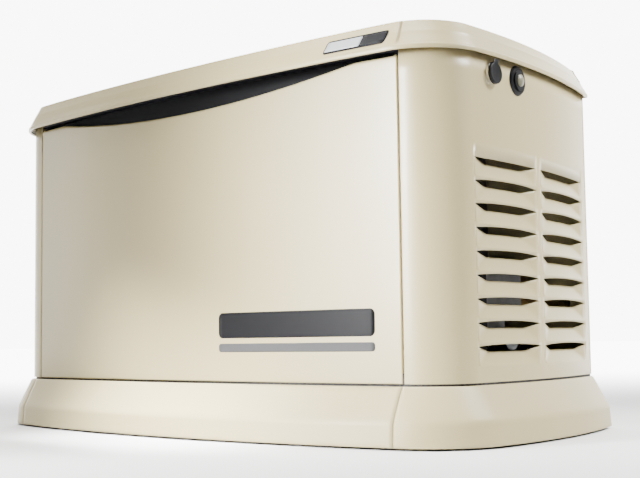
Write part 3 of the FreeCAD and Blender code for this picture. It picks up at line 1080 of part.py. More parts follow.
# ---------------------------------------------------------------- check and export
document.recompute()
for item in document.Objects:
    if "Invalid" in item.State or "Error" in item.State:
        raise SystemExit("%s did not compute: %s" % (item.Name, item.State))
for item in pieces:
    if item.Shape.isNull() or not item.Shape.isValid() or not item.Shape.Solids:
        raise SystemExit("%s has no valid solid" % item.Label)
os.makedirs("parts", exist_ok=True)
for item in pieces:
    item.Shape.exportStep(os.path.join("parts", item.Label + ".step"))
print(len(pieces), "pieces")
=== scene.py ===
import bmesh
import bpy
import json
import math
from mathutils import Matrix, Vector
from mathutils.bvhtree import BVHTree


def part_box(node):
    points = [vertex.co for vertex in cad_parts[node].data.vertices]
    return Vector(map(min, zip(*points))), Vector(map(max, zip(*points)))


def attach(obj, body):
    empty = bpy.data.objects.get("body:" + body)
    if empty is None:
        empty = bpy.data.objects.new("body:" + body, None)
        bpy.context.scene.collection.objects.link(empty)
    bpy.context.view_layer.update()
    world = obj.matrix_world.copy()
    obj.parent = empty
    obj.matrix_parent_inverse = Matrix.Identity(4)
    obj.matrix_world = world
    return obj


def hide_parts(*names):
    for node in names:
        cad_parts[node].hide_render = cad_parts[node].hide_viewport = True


# Looks of the home standby generator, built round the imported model. Metres, +Z up, front towards -Y.

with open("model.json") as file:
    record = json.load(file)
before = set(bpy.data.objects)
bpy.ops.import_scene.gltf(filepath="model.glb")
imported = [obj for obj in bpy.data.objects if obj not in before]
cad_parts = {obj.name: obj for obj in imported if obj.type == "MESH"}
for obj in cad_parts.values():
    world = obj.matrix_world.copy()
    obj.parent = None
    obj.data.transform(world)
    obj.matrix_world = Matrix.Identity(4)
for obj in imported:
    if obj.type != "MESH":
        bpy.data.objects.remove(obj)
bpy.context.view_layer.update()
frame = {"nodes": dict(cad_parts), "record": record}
nodes = frame["nodes"]


# ---------------------------------------------------------------- materials
def node(tree, kind, **values):
    item = tree.nodes.new(kind)
    for name, value in values.items():
        setattr(item, name, value)
    return item


def surface(name, colour, rough=0.45, metal=0.0, vary=0.06, grain=180.0, bump=0.05, bump_scale=900.0,
            wear=0.0, wear_colour=(0.5, 0.5, 0.5), dust=0.0, dust_colour=(0.45, 0.41, 0.34), coat=0.0,
            spread=0.1, glow=None, streak=None, shine=0.5):
    """Procedural finish: large and small colour variation, uneven gloss, fine relief, dust and edge wear."""
    mat = bpy.data.materials.new(name)
    mat.use_nodes = True
    tree = mat.node_tree
    tree.nodes.clear()
    out = node(tree, "ShaderNodeOutputMaterial")
    shader = node(tree, "ShaderNodeBsdfPrincipled")
    tree.links.new(shader.outputs[0], out.inputs[0])
    where = node(tree, "ShaderNodeNewGeometry")
    place = where.outputs["Position"]
    if streak:
        stretch = node(tree, "ShaderNodeMapping")
        stretch.inputs["Scale"].default_value = streak
        tree.links.new(place, stretch.inputs["Vector"])
        fine_from = stretch.outputs[0]
    else:
        fine_from = place
    broad = node(tree, "ShaderNodeTexNoise")
    broad.inputs["Scale"].default_value = 5.0
    broad.inputs["Detail"].default_value = 4.0
    tree.links.new(place, broad.inputs["Vector"])
    fine = node(tree, "ShaderNodeTexNoise")
    fine.inputs["Scale"].default_value = grain
    fine.inputs["Detail"].default_value = 3.0
    tree.links.new(fine_from, fine.inputs["Vector"])
    both = node(tree, "ShaderNodeMath", operation="ADD")
    tree.links.new(broad.outputs["Fac"], both.inputs[0])
    tree.links.new(fine.outputs["Fac"], both.inputs[1])
    tone = node(tree, "ShaderNodeMapRange")
    tone.inputs["From Min"].default_value = 0.6
    tone.inputs["From Max"].default_value = 1.4
    tree.links.new(both.outputs[0], tone.inputs["Value"])
    mix = node(tree, "ShaderNodeMix", data_type="RGBA")
    mix.inputs["A"].default_value = tuple(c * (1 - vary) for c in colour) + (1,)
    mix.inputs["B"].default_value = tuple(min(1, c * (1 + vary)) for c in colour) + (1,)
    tree.links.new(tone.outputs["Result"], mix.inputs["Factor"])
    paint = mix.outputs["Result"]
    gloss = node(tree, "ShaderNodeMapRange")
    gloss.inputs["From Min"].default_value = 0.3
    gloss.inputs["From Max"].default_value = 0.7
    gloss.inputs["To Min"].default_value = max(0.02, rough - spread / 2)
    gloss.inputs["To Max"].default_value = min(1.0, rough + spread / 2)
    tree.links.new(broad.outputs["Fac"], gloss.inputs["Value"])
    gloss_out = gloss.outputs["Result"]
    if wear > 0:
        edge = node(tree, "ShaderNodeMapRange")
        edge.inputs["From Min"].default_value = 0.53
        edge.inputs["From Max"].default_value = 0.60
        edge.inputs["To Max"].default_value = wear
        point = where.outputs["Pointiness"]
        tree.links.new(point, edge.inputs["Value"])
        patchy = node(tree, "ShaderNodeMath", operation="MULTIPLY")
        tree.links.new(edge.outputs["Result"], patchy.inputs[0])
        tree.links.new(tone.outputs["Result"], patchy.inputs[1])
        worn = node(tree, "ShaderNodeMix", data_type="RGBA")
        tree.links.new(patchy.outputs[0], worn.inputs["Factor"])
        tree.links.new(paint, worn.inputs["A"])
        worn.inputs["B"].default_value = tuple(wear_colour) + (1,)
        paint = worn.outputs["Result"]
    if dust > 0:
        normal = node(tree, "ShaderNodeSeparateXYZ")
        tree.links.new(where.outputs["Normal"], normal.inputs[0])
        lying = node(tree, "ShaderNodeMapRange")
        lying.inputs["From Min"].default_value = 0.5
        lying.inputs["From Max"].default_value = 1.0
        lying.inputs["To Max"].default_value = dust
        tree.links.new(normal.outputs["Z"], lying.inputs["Value"])
        specks = node(tree, "ShaderNodeMath", operation="MULTIPLY")
        tree.links.new(lying.outputs["Result"], specks.inputs[0])
        tree.links.new(fine.outputs["Fac"], specks.inputs[1])
        dusty = node(tree, "ShaderNodeMix", data_type="RGBA")
        tree.links.new(specks.outputs[0], dusty.inputs["Factor"])
        tree.links.new(paint, dusty.inputs["A"])
        dusty.inputs["B"].default_value = tuple(dust_colour) + (1,)
        paint = dusty.outputs["Result"]
    relief = node(tree, "ShaderNodeTexNoise")
    relief.inputs["Scale"].default_value = bump_scale
    relief.inputs["Detail"].default_value = 2.0
    tree.links.new(fine_from, relief.inputs["Vector"])
    raised = node(tree, "ShaderNodeBump")
    raised.inputs["Strength"].default_value = bump
    raised.inputs["Distance"].default_value = 0.0006
    tree.links.new(relief.outputs["Fac"], raised.inputs["Height"])
    tree.links.new(raised.outputs[0], shader.inputs["Normal"])
    tree.links.new(paint, shader.inputs["Base Color"])
    tree.links.new(gloss_out, shader.inputs["Roughness"])
    shader.inputs["Metallic"].default_value = metal
    shader.inputs["Specular IOR Level"].default_value = shine
    shader.inputs["Coat Weight"].default_value = coat
    shader.inputs["Coat Roughness"].default_value = 0.15
    if glow:
        shader.inputs["Emission Color"].default_value = tuple(glow) + (1,)
        shader.inputs["Emission Strength"].default_value = 0.4
    return mat


# the case is one warm beige; the mouldings below it are nearly the same
BEIGE = (0.420, 0.350, 0.175)
MATERIALS = {
    "powder_coat": surface("powder_coat", BEIGE, 0.40, vary=0.02, grain=320, bump=0.10, bump_scale=520,
                           wear=0.12, wear_colour=(0.8, 0.76, 0.66), dust=0.05, coat=0.12, spread=0.06),
    "fascia_plastic": surface("fascia_plastic", (0.416, 0.346, 0.173), 0.46, vary=0.02, grain=260,
                              bump=0.16, bump_scale=700, wear=0.10, wear_colour=(0.8, 0.77, 0.68), dust=0.08,
                              spread=0.06),
    "galvanised": surface("galvanised", (0.30, 0.305, 0.31), 0.50, 0.9, 0.22, 60, 0.12, 300, dust=0.15),
    "black_plastic": surface("black_plastic", (0.007, 0.007, 0.008), 0.40, shine=0.16, vary=0.15,
                             bump=0.15, bump_scale=800,
                             wear=0.15, wear_colour=(0.10, 0.10, 0.10), dust=0.12),
    "black_rubber": surface("black_rubber", (0.020, 0.020, 0.021), 0.70, vary=0.2, bump=0.3, dust=0.2),
    "foam": surface("foam", (0.035, 0.035, 0.038), 0.95, vary=0.3, grain=120, bump=1.0, bump_scale=260),
    "chrome": surface("chrome", (0.72, 0.72, 0.74), 0.16, 1.0, 0.05, bump=0.03),
    "steel": surface("steel", (0.46, 0.46, 0.47), 0.34, 1.0, 0.12, bump=0.10, streak=(1, 8, 8)),
    "cast_aluminium": surface("cast_aluminium", (0.20, 0.20, 0.205), 0.58, 0.85, 0.14, 90, 0.5, 420,
                              dust=0.1),
    # near-black paint; where it covers the front frame behind the lid's front lip it is painted shade
    # standing in for the dark gap there, elsewhere it is the part's own black paint
    "black_paint": surface("black_paint", (0.004, 0.004, 0.005), 0.60, shine=0.10, vary=0.12, bump=0.12,
                           wear=0.4,
                           wear_colour=(0.25, 0.25, 0.26), dust=0.1),
    "lens": surface("lens", (0.16, 0.155, 0.105), 0.45, shine=0.25, vary=0.08, bump=0.02, coat=0.1),
    "decal_film": surface("decal_film", (0.004, 0.004, 0.005), 0.50, shine=0.12, vary=0.06, bump=0.03),
    "badge_plate": surface("badge_plate", (0.40, 0.41, 0.42), 0.40, 0.3, 0.05, bump=0.03, coat=0.5),
    "screen": surface("screen", (0.10, 0.14, 0.10), 0.16, vary=0.05, bump=0.02, coat=0.6),
    "key_green": surface("key_green", (0.05, 0.25, 0.07), 0.38, vary=0.08),
    "key_red": surface("key_red", (0.42, 0.03, 0.02), 0.38, vary=0.08),
    "key_grey": surface("key_grey", (0.14, 0.14, 0.15), 0.40, vary=0.08),
    "copper_iron": surface("copper_iron", (0.14, 0.075, 0.045), 0.50, 0.6, 0.25, 200, 0.4, 600, dust=0.1,
                           streak=(60, 1, 1)),
    "exhaust_steel": surface("exhaust_steel", (0.24, 0.20, 0.17), 0.50, 0.9, 0.3, 40, 0.2, 300,
                             dust=0.15),
    "stripe_grey": surface("stripe_grey", (0.060, 0.060, 0.062), 0.55, shine=0.10, vary=0.04, bump=0.03),
    "brass": surface("brass", (0.20, 0.135, 0.055), 0.55, 1.0, 0.1, bump=0.06),
    "filter_white": surface("filter_white", (0.34, 0.34, 0.32), 0.40, vary=0.04, bump=0.05, coat=0.2,
                            dust=0.1),
}


def dress(item, name):
    item.data.materials.clear()
    item.data.materials.append(MATERIALS[name])
    return item


# ---------------------------------------------------------------- mesh helpers
MIDDLE = Vector((0, 0, 0.36))


def build(name, points, faces, material, body, stands_for=(), thick=0.0, bevel=0.0, sharp=25.0,
          offset=-1.0):
    mesh = bpy.data.meshes.new(name)
    mesh.from_pydata([tuple(p) for p in points], [], faces)
    item = bpy.data.objects.new(name, mesh)
    bpy.context.scene.collection.objects.link(item)
    work = bmesh.new()
    work.from_mesh(mesh)
    bmesh.ops.remove_doubles(work, verts=work.verts, dist=1e-5)
    bmesh.ops.recalc_face_normals(work, faces=work.faces)
    if thick > 0 and sum(f.calc_area() * f.normal.dot(f.calc_center_median() - MIDDLE)
                         for f in work.faces) < 0:
        bmesh.ops.reverse_faces(work, faces=work.faces)
    for side in work.faces:
        side.smooth = True
    for edge in work.edges:
        if len(edge.link_faces) == 2 and edge.calc_face_angle(0) > math.radians(sharp):
            edge.smooth = False
    work.to_mesh(mesh)
    work.free()
    if bevel > 0:
        soft = item.modifiers.new("soften", "BEVEL")
        soft.width = bevel
        soft.segments = 2
        soft.limit_method = "ANGLE"
        soft.angle_limit = math.radians(sharp)
        soft.harden_normals = True
    if thick > 0:
        wall = item.modifiers.new("wall", "SOLIDIFY")
        wall.thickness = thick
        wall.offset = offset
    dress(item, material)
    if stands_for:
        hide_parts(*stands_for)
    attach(item, body)
    return item


def grid(rows, closed=False, skip=()):
    """Quads between rows of points that all have the same count."""
    count = len(rows[0])
    points = [p for row in rows for p in row]
    faces = []
    for j in range(len(rows) - 1):
        for i in range(count if closed else count - 1):
            if (i, j) in skip:
                continue
            a, b = j * count + i, j * count + (i + 1) % count
            faces.append((a, b, b + count, a + count))
    return points, faces


def bow(p, q, radius, steps):
    """Points along the arc from p to q bulging to the right of the way from p to q, last one left out."""
    (px, py), (qx, qy) = p, q
    span = math.hypot(qx - px, qy - py)
    mid = ((px + qx) / 2, (py + qy) / 2)
    drop = math.sqrt(radius * radius - span * span / 4)
    centre = (mid[0] - drop * (qy - py) / span, mid[1] + drop * (qx - px) / span)
    first = math.atan2(py - centre[1], px - centre[0])
    last = math.atan2(qy - centre[1], qx - centre[0])
    if last < first:
        last += 2 * math.pi
    return [(centre[0] + radius * math.cos(first + (last - first) * n / steps),
             centre[1] + radius * math.sin(first + (last - first) * n / steps)) for n in range(steps)]


def straight(p, q, steps):
    return [(p[0] + (q[0] - p[0]) * n / steps, p[1] + (q[1] - p[1]) * n / steps) for n in range(steps)]


def plan(seam, front, corner, side, side_arc, rear, steps=(96, 20, 48, 40)):
    """Closed plan outline from the left seam round the front, anticlockwise seen from above."""
    flip = [(-x, y) for x, y in (seam, side, rear)]
    sag = seam[1] - front
    front_arc = (seam[0] ** 2 + sag ** 2) / (2 * sag)
    ring = bow(flip[0], seam, front_arc, steps[0])
    ring += bow(seam, side, corner, steps[1]) + bow(side, rear, side_arc, steps[2])
    ring += straight(rear, flip[2], steps[3])
    ring += bow(flip[2], flip[1], side_arc, steps[2]) + bow(flip[1], flip[0], corner, steps[1])
    return ring


def outward(ring, closed=True):
    """Outward directions along an outline, lengthened at corners so that offsets keep the sides parallel."""
    out = []
    count = len(ring)
    for n in range(count):
        before = ring[n - 1] if closed or n else ring[n]
        after = ring[(n + 1) % count] if closed or n < count - 1 else ring[n]
        here = ring[n]
        sides = []
        for a, b in ((before, here), (here, after)):
            dx, dy = b[0] - a[0], b[1] - a[1]
            length = math.hypot(dx, dy)
            if length > 1e-9:
                sides.append((dy / length, -dx / length))
        nx, ny = sum(s[0] for s in sides), sum(s[1] for s in sides)
        length = math.hypot(nx, ny) or 1.0
        nx, ny = nx / length, ny / length
        grow = 1 / max(0.5, nx * sides[0][0] + ny * sides[0][1])
        out.append((nx * grow, ny * grow))
    return out


def level(ring, normals, inset, z):
    rise = z if callable(z) else (lambda n: z)
    depth = inset if callable(inset) else (lambda n: inset)
    return [(p[0] - normals[n][0] * depth(n), p[1] - normals[n][1] * depth(n), rise(n))
            for n, p in enumerate(ring)]


# ---------------------------------------------------------------- lid
lid_low, lid_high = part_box("lid")
half = lid_high[0]
lid_ring = plan((half - 0.103, lid_low[1] + 0.024), lid_low[1], 0.125, (half, lid_low[1] + 0.1355), 1.548,
                (half - 0.076, lid_high[1]), (160, 24, 60, 60))
STEP_X = half - 0.089


def refine(ring, near, span, parts):
    """Adds points to an outline where it passes a given distance from the middle."""
    out = []
    for n, p in enumerate(ring):
        q = ring[(n + 1) % len(ring)]
        out.append(p)
        if abs(abs(p[0]) - near) < span and abs(abs(q[0]) - near) < span and p[1] < -0.15:
            out += [(p[0] + (q[0] - p[0]) * k / parts, p[1] + (q[1] - p[1]) * k / parts)
                    for k in range(1, parts)]
    return out


lid_ring = refine(lid_ring, STEP_X, 0.012, 8)
lid_normals = outward(lid_ring)
crown_z = lid_high[2] - 0.0002
mid_y = (lid_low[1] + lid_high[1]) / 2 + 0.006


def roof(x, y):
    long_drop, cross_drop = x * x / (2 * 19.6), (y - mid_y) ** 2 / (2 * 5.26)
    return crown_z - (long_drop ** 6 + cross_drop ** 6) ** (1 / 6)


def smooth(t):
    t = max(0.0, min(1.0, t))
    return t * t * (3 - 2 * t)


LEAN = 33.0 / 59.0
bead_top = lid_low[2] + 0.009


def proud(n):
    """The middle of the front band stands a little further out and ends at a narrow groove."""
    x, y = lid_ring[n]
    if y > lid_low[1] + 0.12:
        return 0.0
    groove = 0.0022 * max(0.0, 1 - abs(abs(x) - STEP_X - 0.0035) / 0.0022)
    return groove - 0.0026 * smooth((STEP_X + 0.001 - abs(x)) / 0.002)


bottom = lid_low[2]
shoulder = []
for n, (x, y) in enumerate(lid_ring):
    inner = 0.030
    px, py = x - lid_normals[n][0] * inner, y - lid_normals[n][1] * inner
    shoulder.append((roof(px, py) - bead_top) * LEAN)
rows = []
rear_n = [1.0 if p[1] > lid_high[1] - 0.001 else 0.0 for p in lid_ring]
rows.append(level(lid_ring, lid_normals, lambda n: 0.0022 if rear_n[n] else 0.0060, bottom + 0.0016))
rows.append(level(lid_ring, lid_normals, lambda n: 0.0016 if rear_n[n] else 0.0035, bottom + 0.0002))
rows.append(level(lid_ring, lid_normals, 0.0010, bottom))
for inset, z in ((0.0003, 0.0008), (0.0, 0.0022), (0.0, 0.0058), (0.0004, 0.0074), (0.0013, 0.0084),
                 (0.0021, 0.0092)):
    rows.append(level(lid_ring, lid_normals, inset, bottom + z))
band_low = bottom + 0.0100
for t in (0.0, 0.12, 0.3, 0.46, 0.50, 0.54, 0.7, 0.84, 0.92):
    crease = -0.0006 * math.exp(-((t - 0.50) / 0.05) ** 2)
    rows.append(level(lid_ring, lid_normals,
                      lambda n, t=t, c=crease: (0.0024 + t * (shoulder[n] - 0.0024)
                                                + proud(n) * smooth(t / 0.1) + c),
                      lambda n, t=t: band_low + t * (shoulder[n] / LEAN + bead_top - band_low)))
for t in (0.0, 0.25, 0.5, 0.75, 1.0):
    angle = t * math.pi / 2
    reach = 0.008

    def inset_at(n, t=t, angle=angle):
        low = 0.0024 + 0.94 * (shoulder[n] - 0.0024) + proud(n) * (1 - t)
        return low + 0.003 * t + reach * (1 - math.cos(angle))

    def height_at(n, t=t, angle=angle):
        i = inset_at(n, t, angle)
        x, y = lid_ring[n][0] - lid_normals[n][0] * i, lid_ring[n][1] - lid_normals[n][1] * i
        low = band_low + 0.94 * (shoulder[n] / LEAN + bead_top - band_low)
        return low + (roof(x, y) - low) * math.sin(angle) ** 0.9

    rows.append(level(lid_ring, lid_normals, inset_at, height_at))
last = rows[-1]
core = (0.0, mid_y)
for shrink in (0.97, 0.92, 0.82, 0.66, 0.48, 0.30, 0.14, 0.04):
    ring = []
    for x, y, z in last:
        px, py = core[0] + (x - core[0]) * shrink, core[1] + (y - core[1]) * shrink
        ring.append((px, py, roof(px, py)))
    rows.append(ring)
points, faces = grid(rows, closed=True)
points.append((core[0], core[1], roof(*core)))
count = len(lid_ring)
base = (len(rows) - 1) * count
faces += [(base + n, base + (n + 1) % count, len(points) - 1) for n in range(count)]
build("lid_skin", points, faces, "powder_coat", "lid", ["lid"], thick=0.0018, sharp=40)

# ---------------------------------------------------------------- case panels
panel_low, panel_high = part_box("front_panel")
side_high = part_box("side_panel_right")[1]
seam_x, seam_y, front_y = panel_high[0] + 0.001, panel_low[1] + 0.026, panel_low[1]
CORNER, SIDE_ARC = 0.093, 1.585
side_start = (side_high[0] - 0.0002, seam_y + 0.087)
rear_corner = (side_high[0] - 0.072, side_high[1])
case_low = panel_low[2]


# side panel: outline from the front seam round the corner to the back
side_run = bow((seam_x, seam_y), side_start, CORNER, 28)
SLOT_TOPS = [0.4918 - 0.0406 * n for n in range(9)]
CELL_HIGH, SLOT, DEEP, ENDS, ARCH = 0.0325, 0.0080, 0.0115, 0.046, 0.0045
COLUMNS = ((-0.1575, 0.0555), (0.073, 0.2955))


def at_y(y):
    """Point and outward normal of the side arc at a given y."""
    span = math.hypot(rear_corner[0] - side_start[0], rear_corner[1] - side_start[1])
    drop = math.sqrt(SIDE_ARC ** 2 - span ** 2 / 4)
    cx = (side_start[0] + rear_corner[0]) / 2 - drop * (rear_corner[1] - side_start[1]) / span
    cy = (side_start[1] + rear_corner[1]) / 2 + drop * (rear_corner[0] - side_start[0]) / span
    angle = math.asin((y - cy) / SIDE_ARC)
    return (cx + SIDE_ARC * math.cos(angle), y), (math.cos(angle), math.sin(angle))


CELLS = 26
TURN = 0.006


def columns_at():
    """y values across the side arc, denser and exact over each louvre column."""
    values, spans = [], []
    y = side_start[1]
    for first, last in COLUMNS:
        values += [y + (first - y) * n / 3 for n in range(3)]
        spans.append(len(values))
        values += [first + (last - first) * n / CELLS for n in range(CELLS)]
        y = last
    values += [y + (rear_corner[1] - TURN - y) * n / 4 for n in range(5)]
    return values, spans


def side_panel(name, mirrored, body):
    """Louvred side panel: rolled front edge, side arc with its slots, and a turned rear edge."""
    values, spans = columns_at()
    run, normals = [], []
    lean = outward(side_run + [side_start], closed=False)
    for n, p in enumerate(side_run):
        run.append(p)
        normals.append(lean[n])
    arc_starts = len(run)
    for y in values:
        p, normal = at_y(y)
        run.append(p)
        normals.append(normal)
    for step in range(1, 6):
        angle = step * math.pi / 10
        p, normal = at_y(rear_corner[1] - TURN)
        turn = (normal[0] * math.cos(angle), normal[1] * math.cos(angle) + math.sin(angle))
        size = math.hypot(*turn)
        run.append((p[0] - TURN * math.sin(angle * 0.5) ** 2, p[1] + TURN * math.sin(angle)))
        normals.append((turn[0] / size, turn[1] / size))
    run.append((0.5305, rear_corner[1]))
    normals.append((0.0, 1.0))
    # front edge rolled in towards the seam
    first, nrm = run[0], normals[0]
    roll, radius = [], 0.0024
    for step in range(4, 0, -1):
        angle = step * math.pi / 8
        roll.append(((first[0] + radius * (1 - math.sin(angle)),
                      first[1] + radius * (1 - math.cos(angle))),
                     (nrm[0] * math.cos(angle) - math.sin(angle), nrm[1] * math.cos(angle))))
    deep = (first[0], first[1] + 0.018)
    run = [deep] + [p for p, q in roll] + [(first[0] + radius, first[1] + 0.0002)] + run[1:]
    normals = [(-1.0, 0.0)] + [q for p, q in roll] + [nrm] + normals[1:]
    arc_starts += 5
    levels = [case_low, case_low + 0.0006]
    tops = SLOT_TOPS[::-1]
    rows_of = {}
    for n, top in enumerate(tops):
        levels.append(top - CELL_HIGH)
        rows_of[len(levels) - 1] = n
        levels.append(top)
    levels += [0.52, 0.56, 0.60, 0.64, side_high[2]]
    rows, skip = [], set()
    for j, z in enumerate(levels):
        row = []
        for i, (x, y) in enumerate(run):
            lift = 0.0
            for start in spans:
                k = i - (start + arc_starts)
                if 0 <= k <= CELLS and z in tops and z != tops[-1]:
                    t = k / CELLS
                    lift = ARCH * max(0.0, 1 - (2 * t - 1) ** 2) ** 0.7
            row.append((x, y, z + lift))
        rows.append(row)
    for j in rows_of:
        for start in spans:
            for k in range(CELLS):
                skip.add((start + arc_starts + k, j))
    points, faces = grid(rows, skip=skip)
    for first_y, last_y in COLUMNS:
        for top in tops:
            cell = []
            for v in (0.0, 0.12, 0.25, 0.4, 0.55, 0.7, 0.85, 1.0):
                row = []
                for k in range(CELLS + 1):
                    y = first_y + (last_y - first_y) * k / CELLS
                    (x, y), (nx, ny) = at_y(y)
                    end = min(k / CELLS, 1 - k / CELLS) * (last_y - first_y)
                    g = min(1.0, end / ENDS)
                    z_top = top - SLOT * g
                    z = top - CELL_HIGH + v * (z_top - (top - CELL_HIGH))
                    depth = DEEP * min(v, g)
                    row.append((x - nx * depth, y - ny * depth, z))
                cell.append(row)
            more, quads = grid(cell)
            faces += [tuple(a + len(points) for a in q) for q in quads]
            points += more
    if mirrored:
        points = [(-x, y, z) for x, y, z in points]
    build(name, points, faces, "powder_coat", "base", [body], thick=0.0016, bevel=0.0010, sharp=16)


side_panel("side_skin_right", False, "side_panel_right")
side_panel("side_skin_left", True, "side_panel_left")

# front panel
GRIP_HALF, GRIP_DEEP = 0.430, 0.034
panel_run = bow((-seam_x, seam_y), (seam_x, seam_y), (seam_x ** 2 + 0.026 ** 2) / 0.052, 200)
panel_run = panel_run + [(seam_x, seam_y)]
panel_normals = outward(panel_run, closed=False)
edge = 0.0010
shown = []
for (x, y), (nx, ny) in zip(panel_run, panel_normals):
    if abs(x) < seam_x - edge - 0.0024:
        shown.append(((x, y), (nx, ny)))
(fx, fy), (nx, ny) = shown[0]
radius = 0.0024
left_roll = [((fx - radius * math.sin(a), fy + radius * (1 - math.cos(a))), (-math.sin(a), -math.cos(a)))
             for a in [k * math.pi / 8 for k in (4, 3, 2, 1)]]
left_roll = [((fx - radius, fy + 0.011), (-1.0, 0.0))] + left_roll
right_roll = [((-x, y), (-nx, ny)) for (x, y), (nx, ny) in reversed(left_roll)]
run = left_roll + shown + right_roll


def panel_top(x):
    if abs(x) >= GRIP_HALF:
        return panel_high[2] - 0.0005
    arc = (GRIP_HALF ** 2 + GRIP_DEEP ** 2) / (2 * GRIP_DEEP)
    return panel_high[2] - 0.0005 - GRIP_DEEP + arc - math.sqrt(arc * arc - x * x)


rows = []
for t in (0.0, 0.004, 0.1, 0.2, 0.3, 0.4, 0.5, 0.6, 0.7, 0.8, 0.88, 0.94, 0.97):
    rows.append([(x, y, case_low + t * (panel_top(x) - 0.006 - case_low)) for (x, y), n in run])
for step in range(0, 7):
    angle = step * math.pi / 12
    rad = 0.005
    rows.append([(x - nx * rad * (1 - math.cos(angle)), y - ny * rad * (1 - math.cos(angle)),
                  panel_top(x) - rad + rad * math.sin(angle)) for (x, y), (nx, ny) in run])
rows.append([(x - nx * 0.012, y - ny * 0.012, panel_top(x) - 0.0006) for (x, y), (nx, ny) in run])
points, faces = grid(rows)
build("front_skin", points, faces, "powder_coat", "front_panel", ["front_panel"], thick=0.0014, sharp=50)

# ---------------------------------------------------------------- base fascia
foot_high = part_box("fascia_right")[1]
front_low, front_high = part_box("fascia_front")
foot = plan((0.531, front_low[1] + 0.054), front_low[1], 0.150, (foot_high[0] - 0.0012, -0.150), 1.274,
            (0.581, foot_high[1]), (120, 24, 60, 60))
brow = plan((0.528, -0.257), -0.2975, 0.105, (0.616, -0.150), 1.585, (0.545, 0.337), (120, 24, 60, 60))
foot_n = outward(foot)
low_z, high_z = front_low[2], front_high[2]
kink_z = low_z + 0.041
rows = []
for inset, z in ((0.0030, 0.0006), (0.0008, 0.0), (0.0, 0.0014)):
    rows.append(level(foot, foot_n, inset, low_z + z))
for t in (0.15, 0.5, 0.85):
    rows.append(level(foot, foot_n, 0.003 * t, low_z + 0.041 * t))
kink = level(foot, foot_n, 0.003, kink_z)


def between(t):
    return [(a[0] + (b[0] - a[0]) * t, a[1] + (b[1] - a[1]) * t, kink_z + (high_z - kink_z) * t)
            for a, b in zip(kink, brow)]


def halfway(a, b, t):
    return [tuple(p[k] + (q[k] - p[k]) * t for k in range(3)) for p, q in zip(a, b)]


under = level(foot, foot_n, 0.00256, low_z + 0.035)
over = between(0.12)
for t in (0.0, 0.2, 0.4, 0.6, 0.8, 1.0):
    rows.append(halfway(halfway(under, kink, t), halfway(kink, over, t), t))
for t in (0.3, 0.5, 0.7, 0.85, 0.95):
    rows.append(between(t))
brow_n = outward(brow)
rows.append(level(brow, brow_n, 0.0004, high_z - 0.0006))
rows.append(level(brow, brow_n, 0.0016, high_z))
rows.append(level(brow, brow_n, lambda n: 0.022 if brow[n][1] < -0.2 else 0.004, high_z))
count = len(foot)
spans = {"fascia_front": (0, 120), "fascia_right": (120, 204), "fascia_rear": (204, 264),
         "fascia_left": (264, 348)}
for name, (first, last) in spans.items():
    part = []
    for row in rows:
        line = [row[n % count] for n in range(first, last + 1)]
        for end, inner in ((0, 1), (-1, -2)):
            a, b = Vector(line[end]), Vector(line[inner])
            line[end] = tuple(a + (b - a).normalized() * 0.0006)
        part.append(line)
    points, faces = grid(part)
    build(name + "_skin", points, faces, "fascia_plastic", "base", [name], thick=0.0028, sharp=40)

# ---------------------------------------------------------------- badge, decal and lock cover
def on_band(x, z, lift):
    """Point lifted off the lid's leaning front band, found straight behind (x, z)."""
    place, facing, _, _ = lid_tree.ray_cast(Vector((x, -1, z)), Vector((0, 1, 0)))
    return tuple(place + (facing if facing.y < 0 else -facing) * lift)


def on_front(x, z, lift):
    """Point lifted off the bowed front panel."""
    return (x, front_y + case_arc - math.sqrt(case_arc * case_arc - x * x) - lift, z)


def film(name, corners, material, body, surface_at, lift, stands_for=(), thick=0.0002):
    """Thin shape laid on a curved skin, from its outline in (x, z)."""
    steps = []
    for n, (x, z) in enumerate(corners):
        nx, nz = corners[(n + 1) % len(corners)]
        parts = max(1, int(math.hypot(nx - x, nz - z) / 0.008))
        steps += [(x + (nx - x) * k / parts, z + (nz - z) * k / parts) for k in range(parts)]
    mesh = bmesh.new()
    mesh.faces.new([mesh.verts.new((x, 0, z)) for x, z in steps])
    first, last = min(p[0] for p in corners), max(p[0] for p in corners)
    low, high = min(p[1] for p in corners), max(p[1] for p in corners)
    cuts = [((first + 0.012 * k, 0, 0), (1, 0, 0)) for k in range(1, int((last - first) / 0.012) + 1)]
    cuts += [((0, 0, low + 0.002 * k), (0, 0, 1)) for k in range(1, int((high - low) / 0.002) + 1)]
    for place, facing in cuts:
        geometry = mesh.verts[:] + mesh.edges[:] + mesh.faces[:]
        bmesh.ops.bisect_plane(mesh, geom=geometry, plane_co=place, plane_no=facing)
    mesh.verts.index_update()
    points = [surface_at(v.co.x, v.co.z, lift) for v in mesh.verts]
    faces = [tuple(v.index for v in f.verts) for f in mesh.faces]
    mesh.free()
    return build(name, points, faces, material, body, stands_for, thick=thick, offset=1.0, sharp=60)


def rounded(x0, z0, x1, z1, radius, lean=0.0):
    """Rounded oblong in (x, z), its top shifted sideways by lean."""
    out = []
    for cx, cz, start in ((x1 - radius, z0 + radius, -90), (x1 - radius, z1 - radius, 0),
                          (x0 + radius, z1 - radius, 90), (x0 + radius, z0 + radius, 180)):
        for k in range(7):
            angle = math.radians(start + 15 * k)
            x, z = cx + radius * math.cos(angle), cz + radius * math.sin(angle)
            out.append((x + lean * (z - z0) / (z1 - z0), z))
    return out


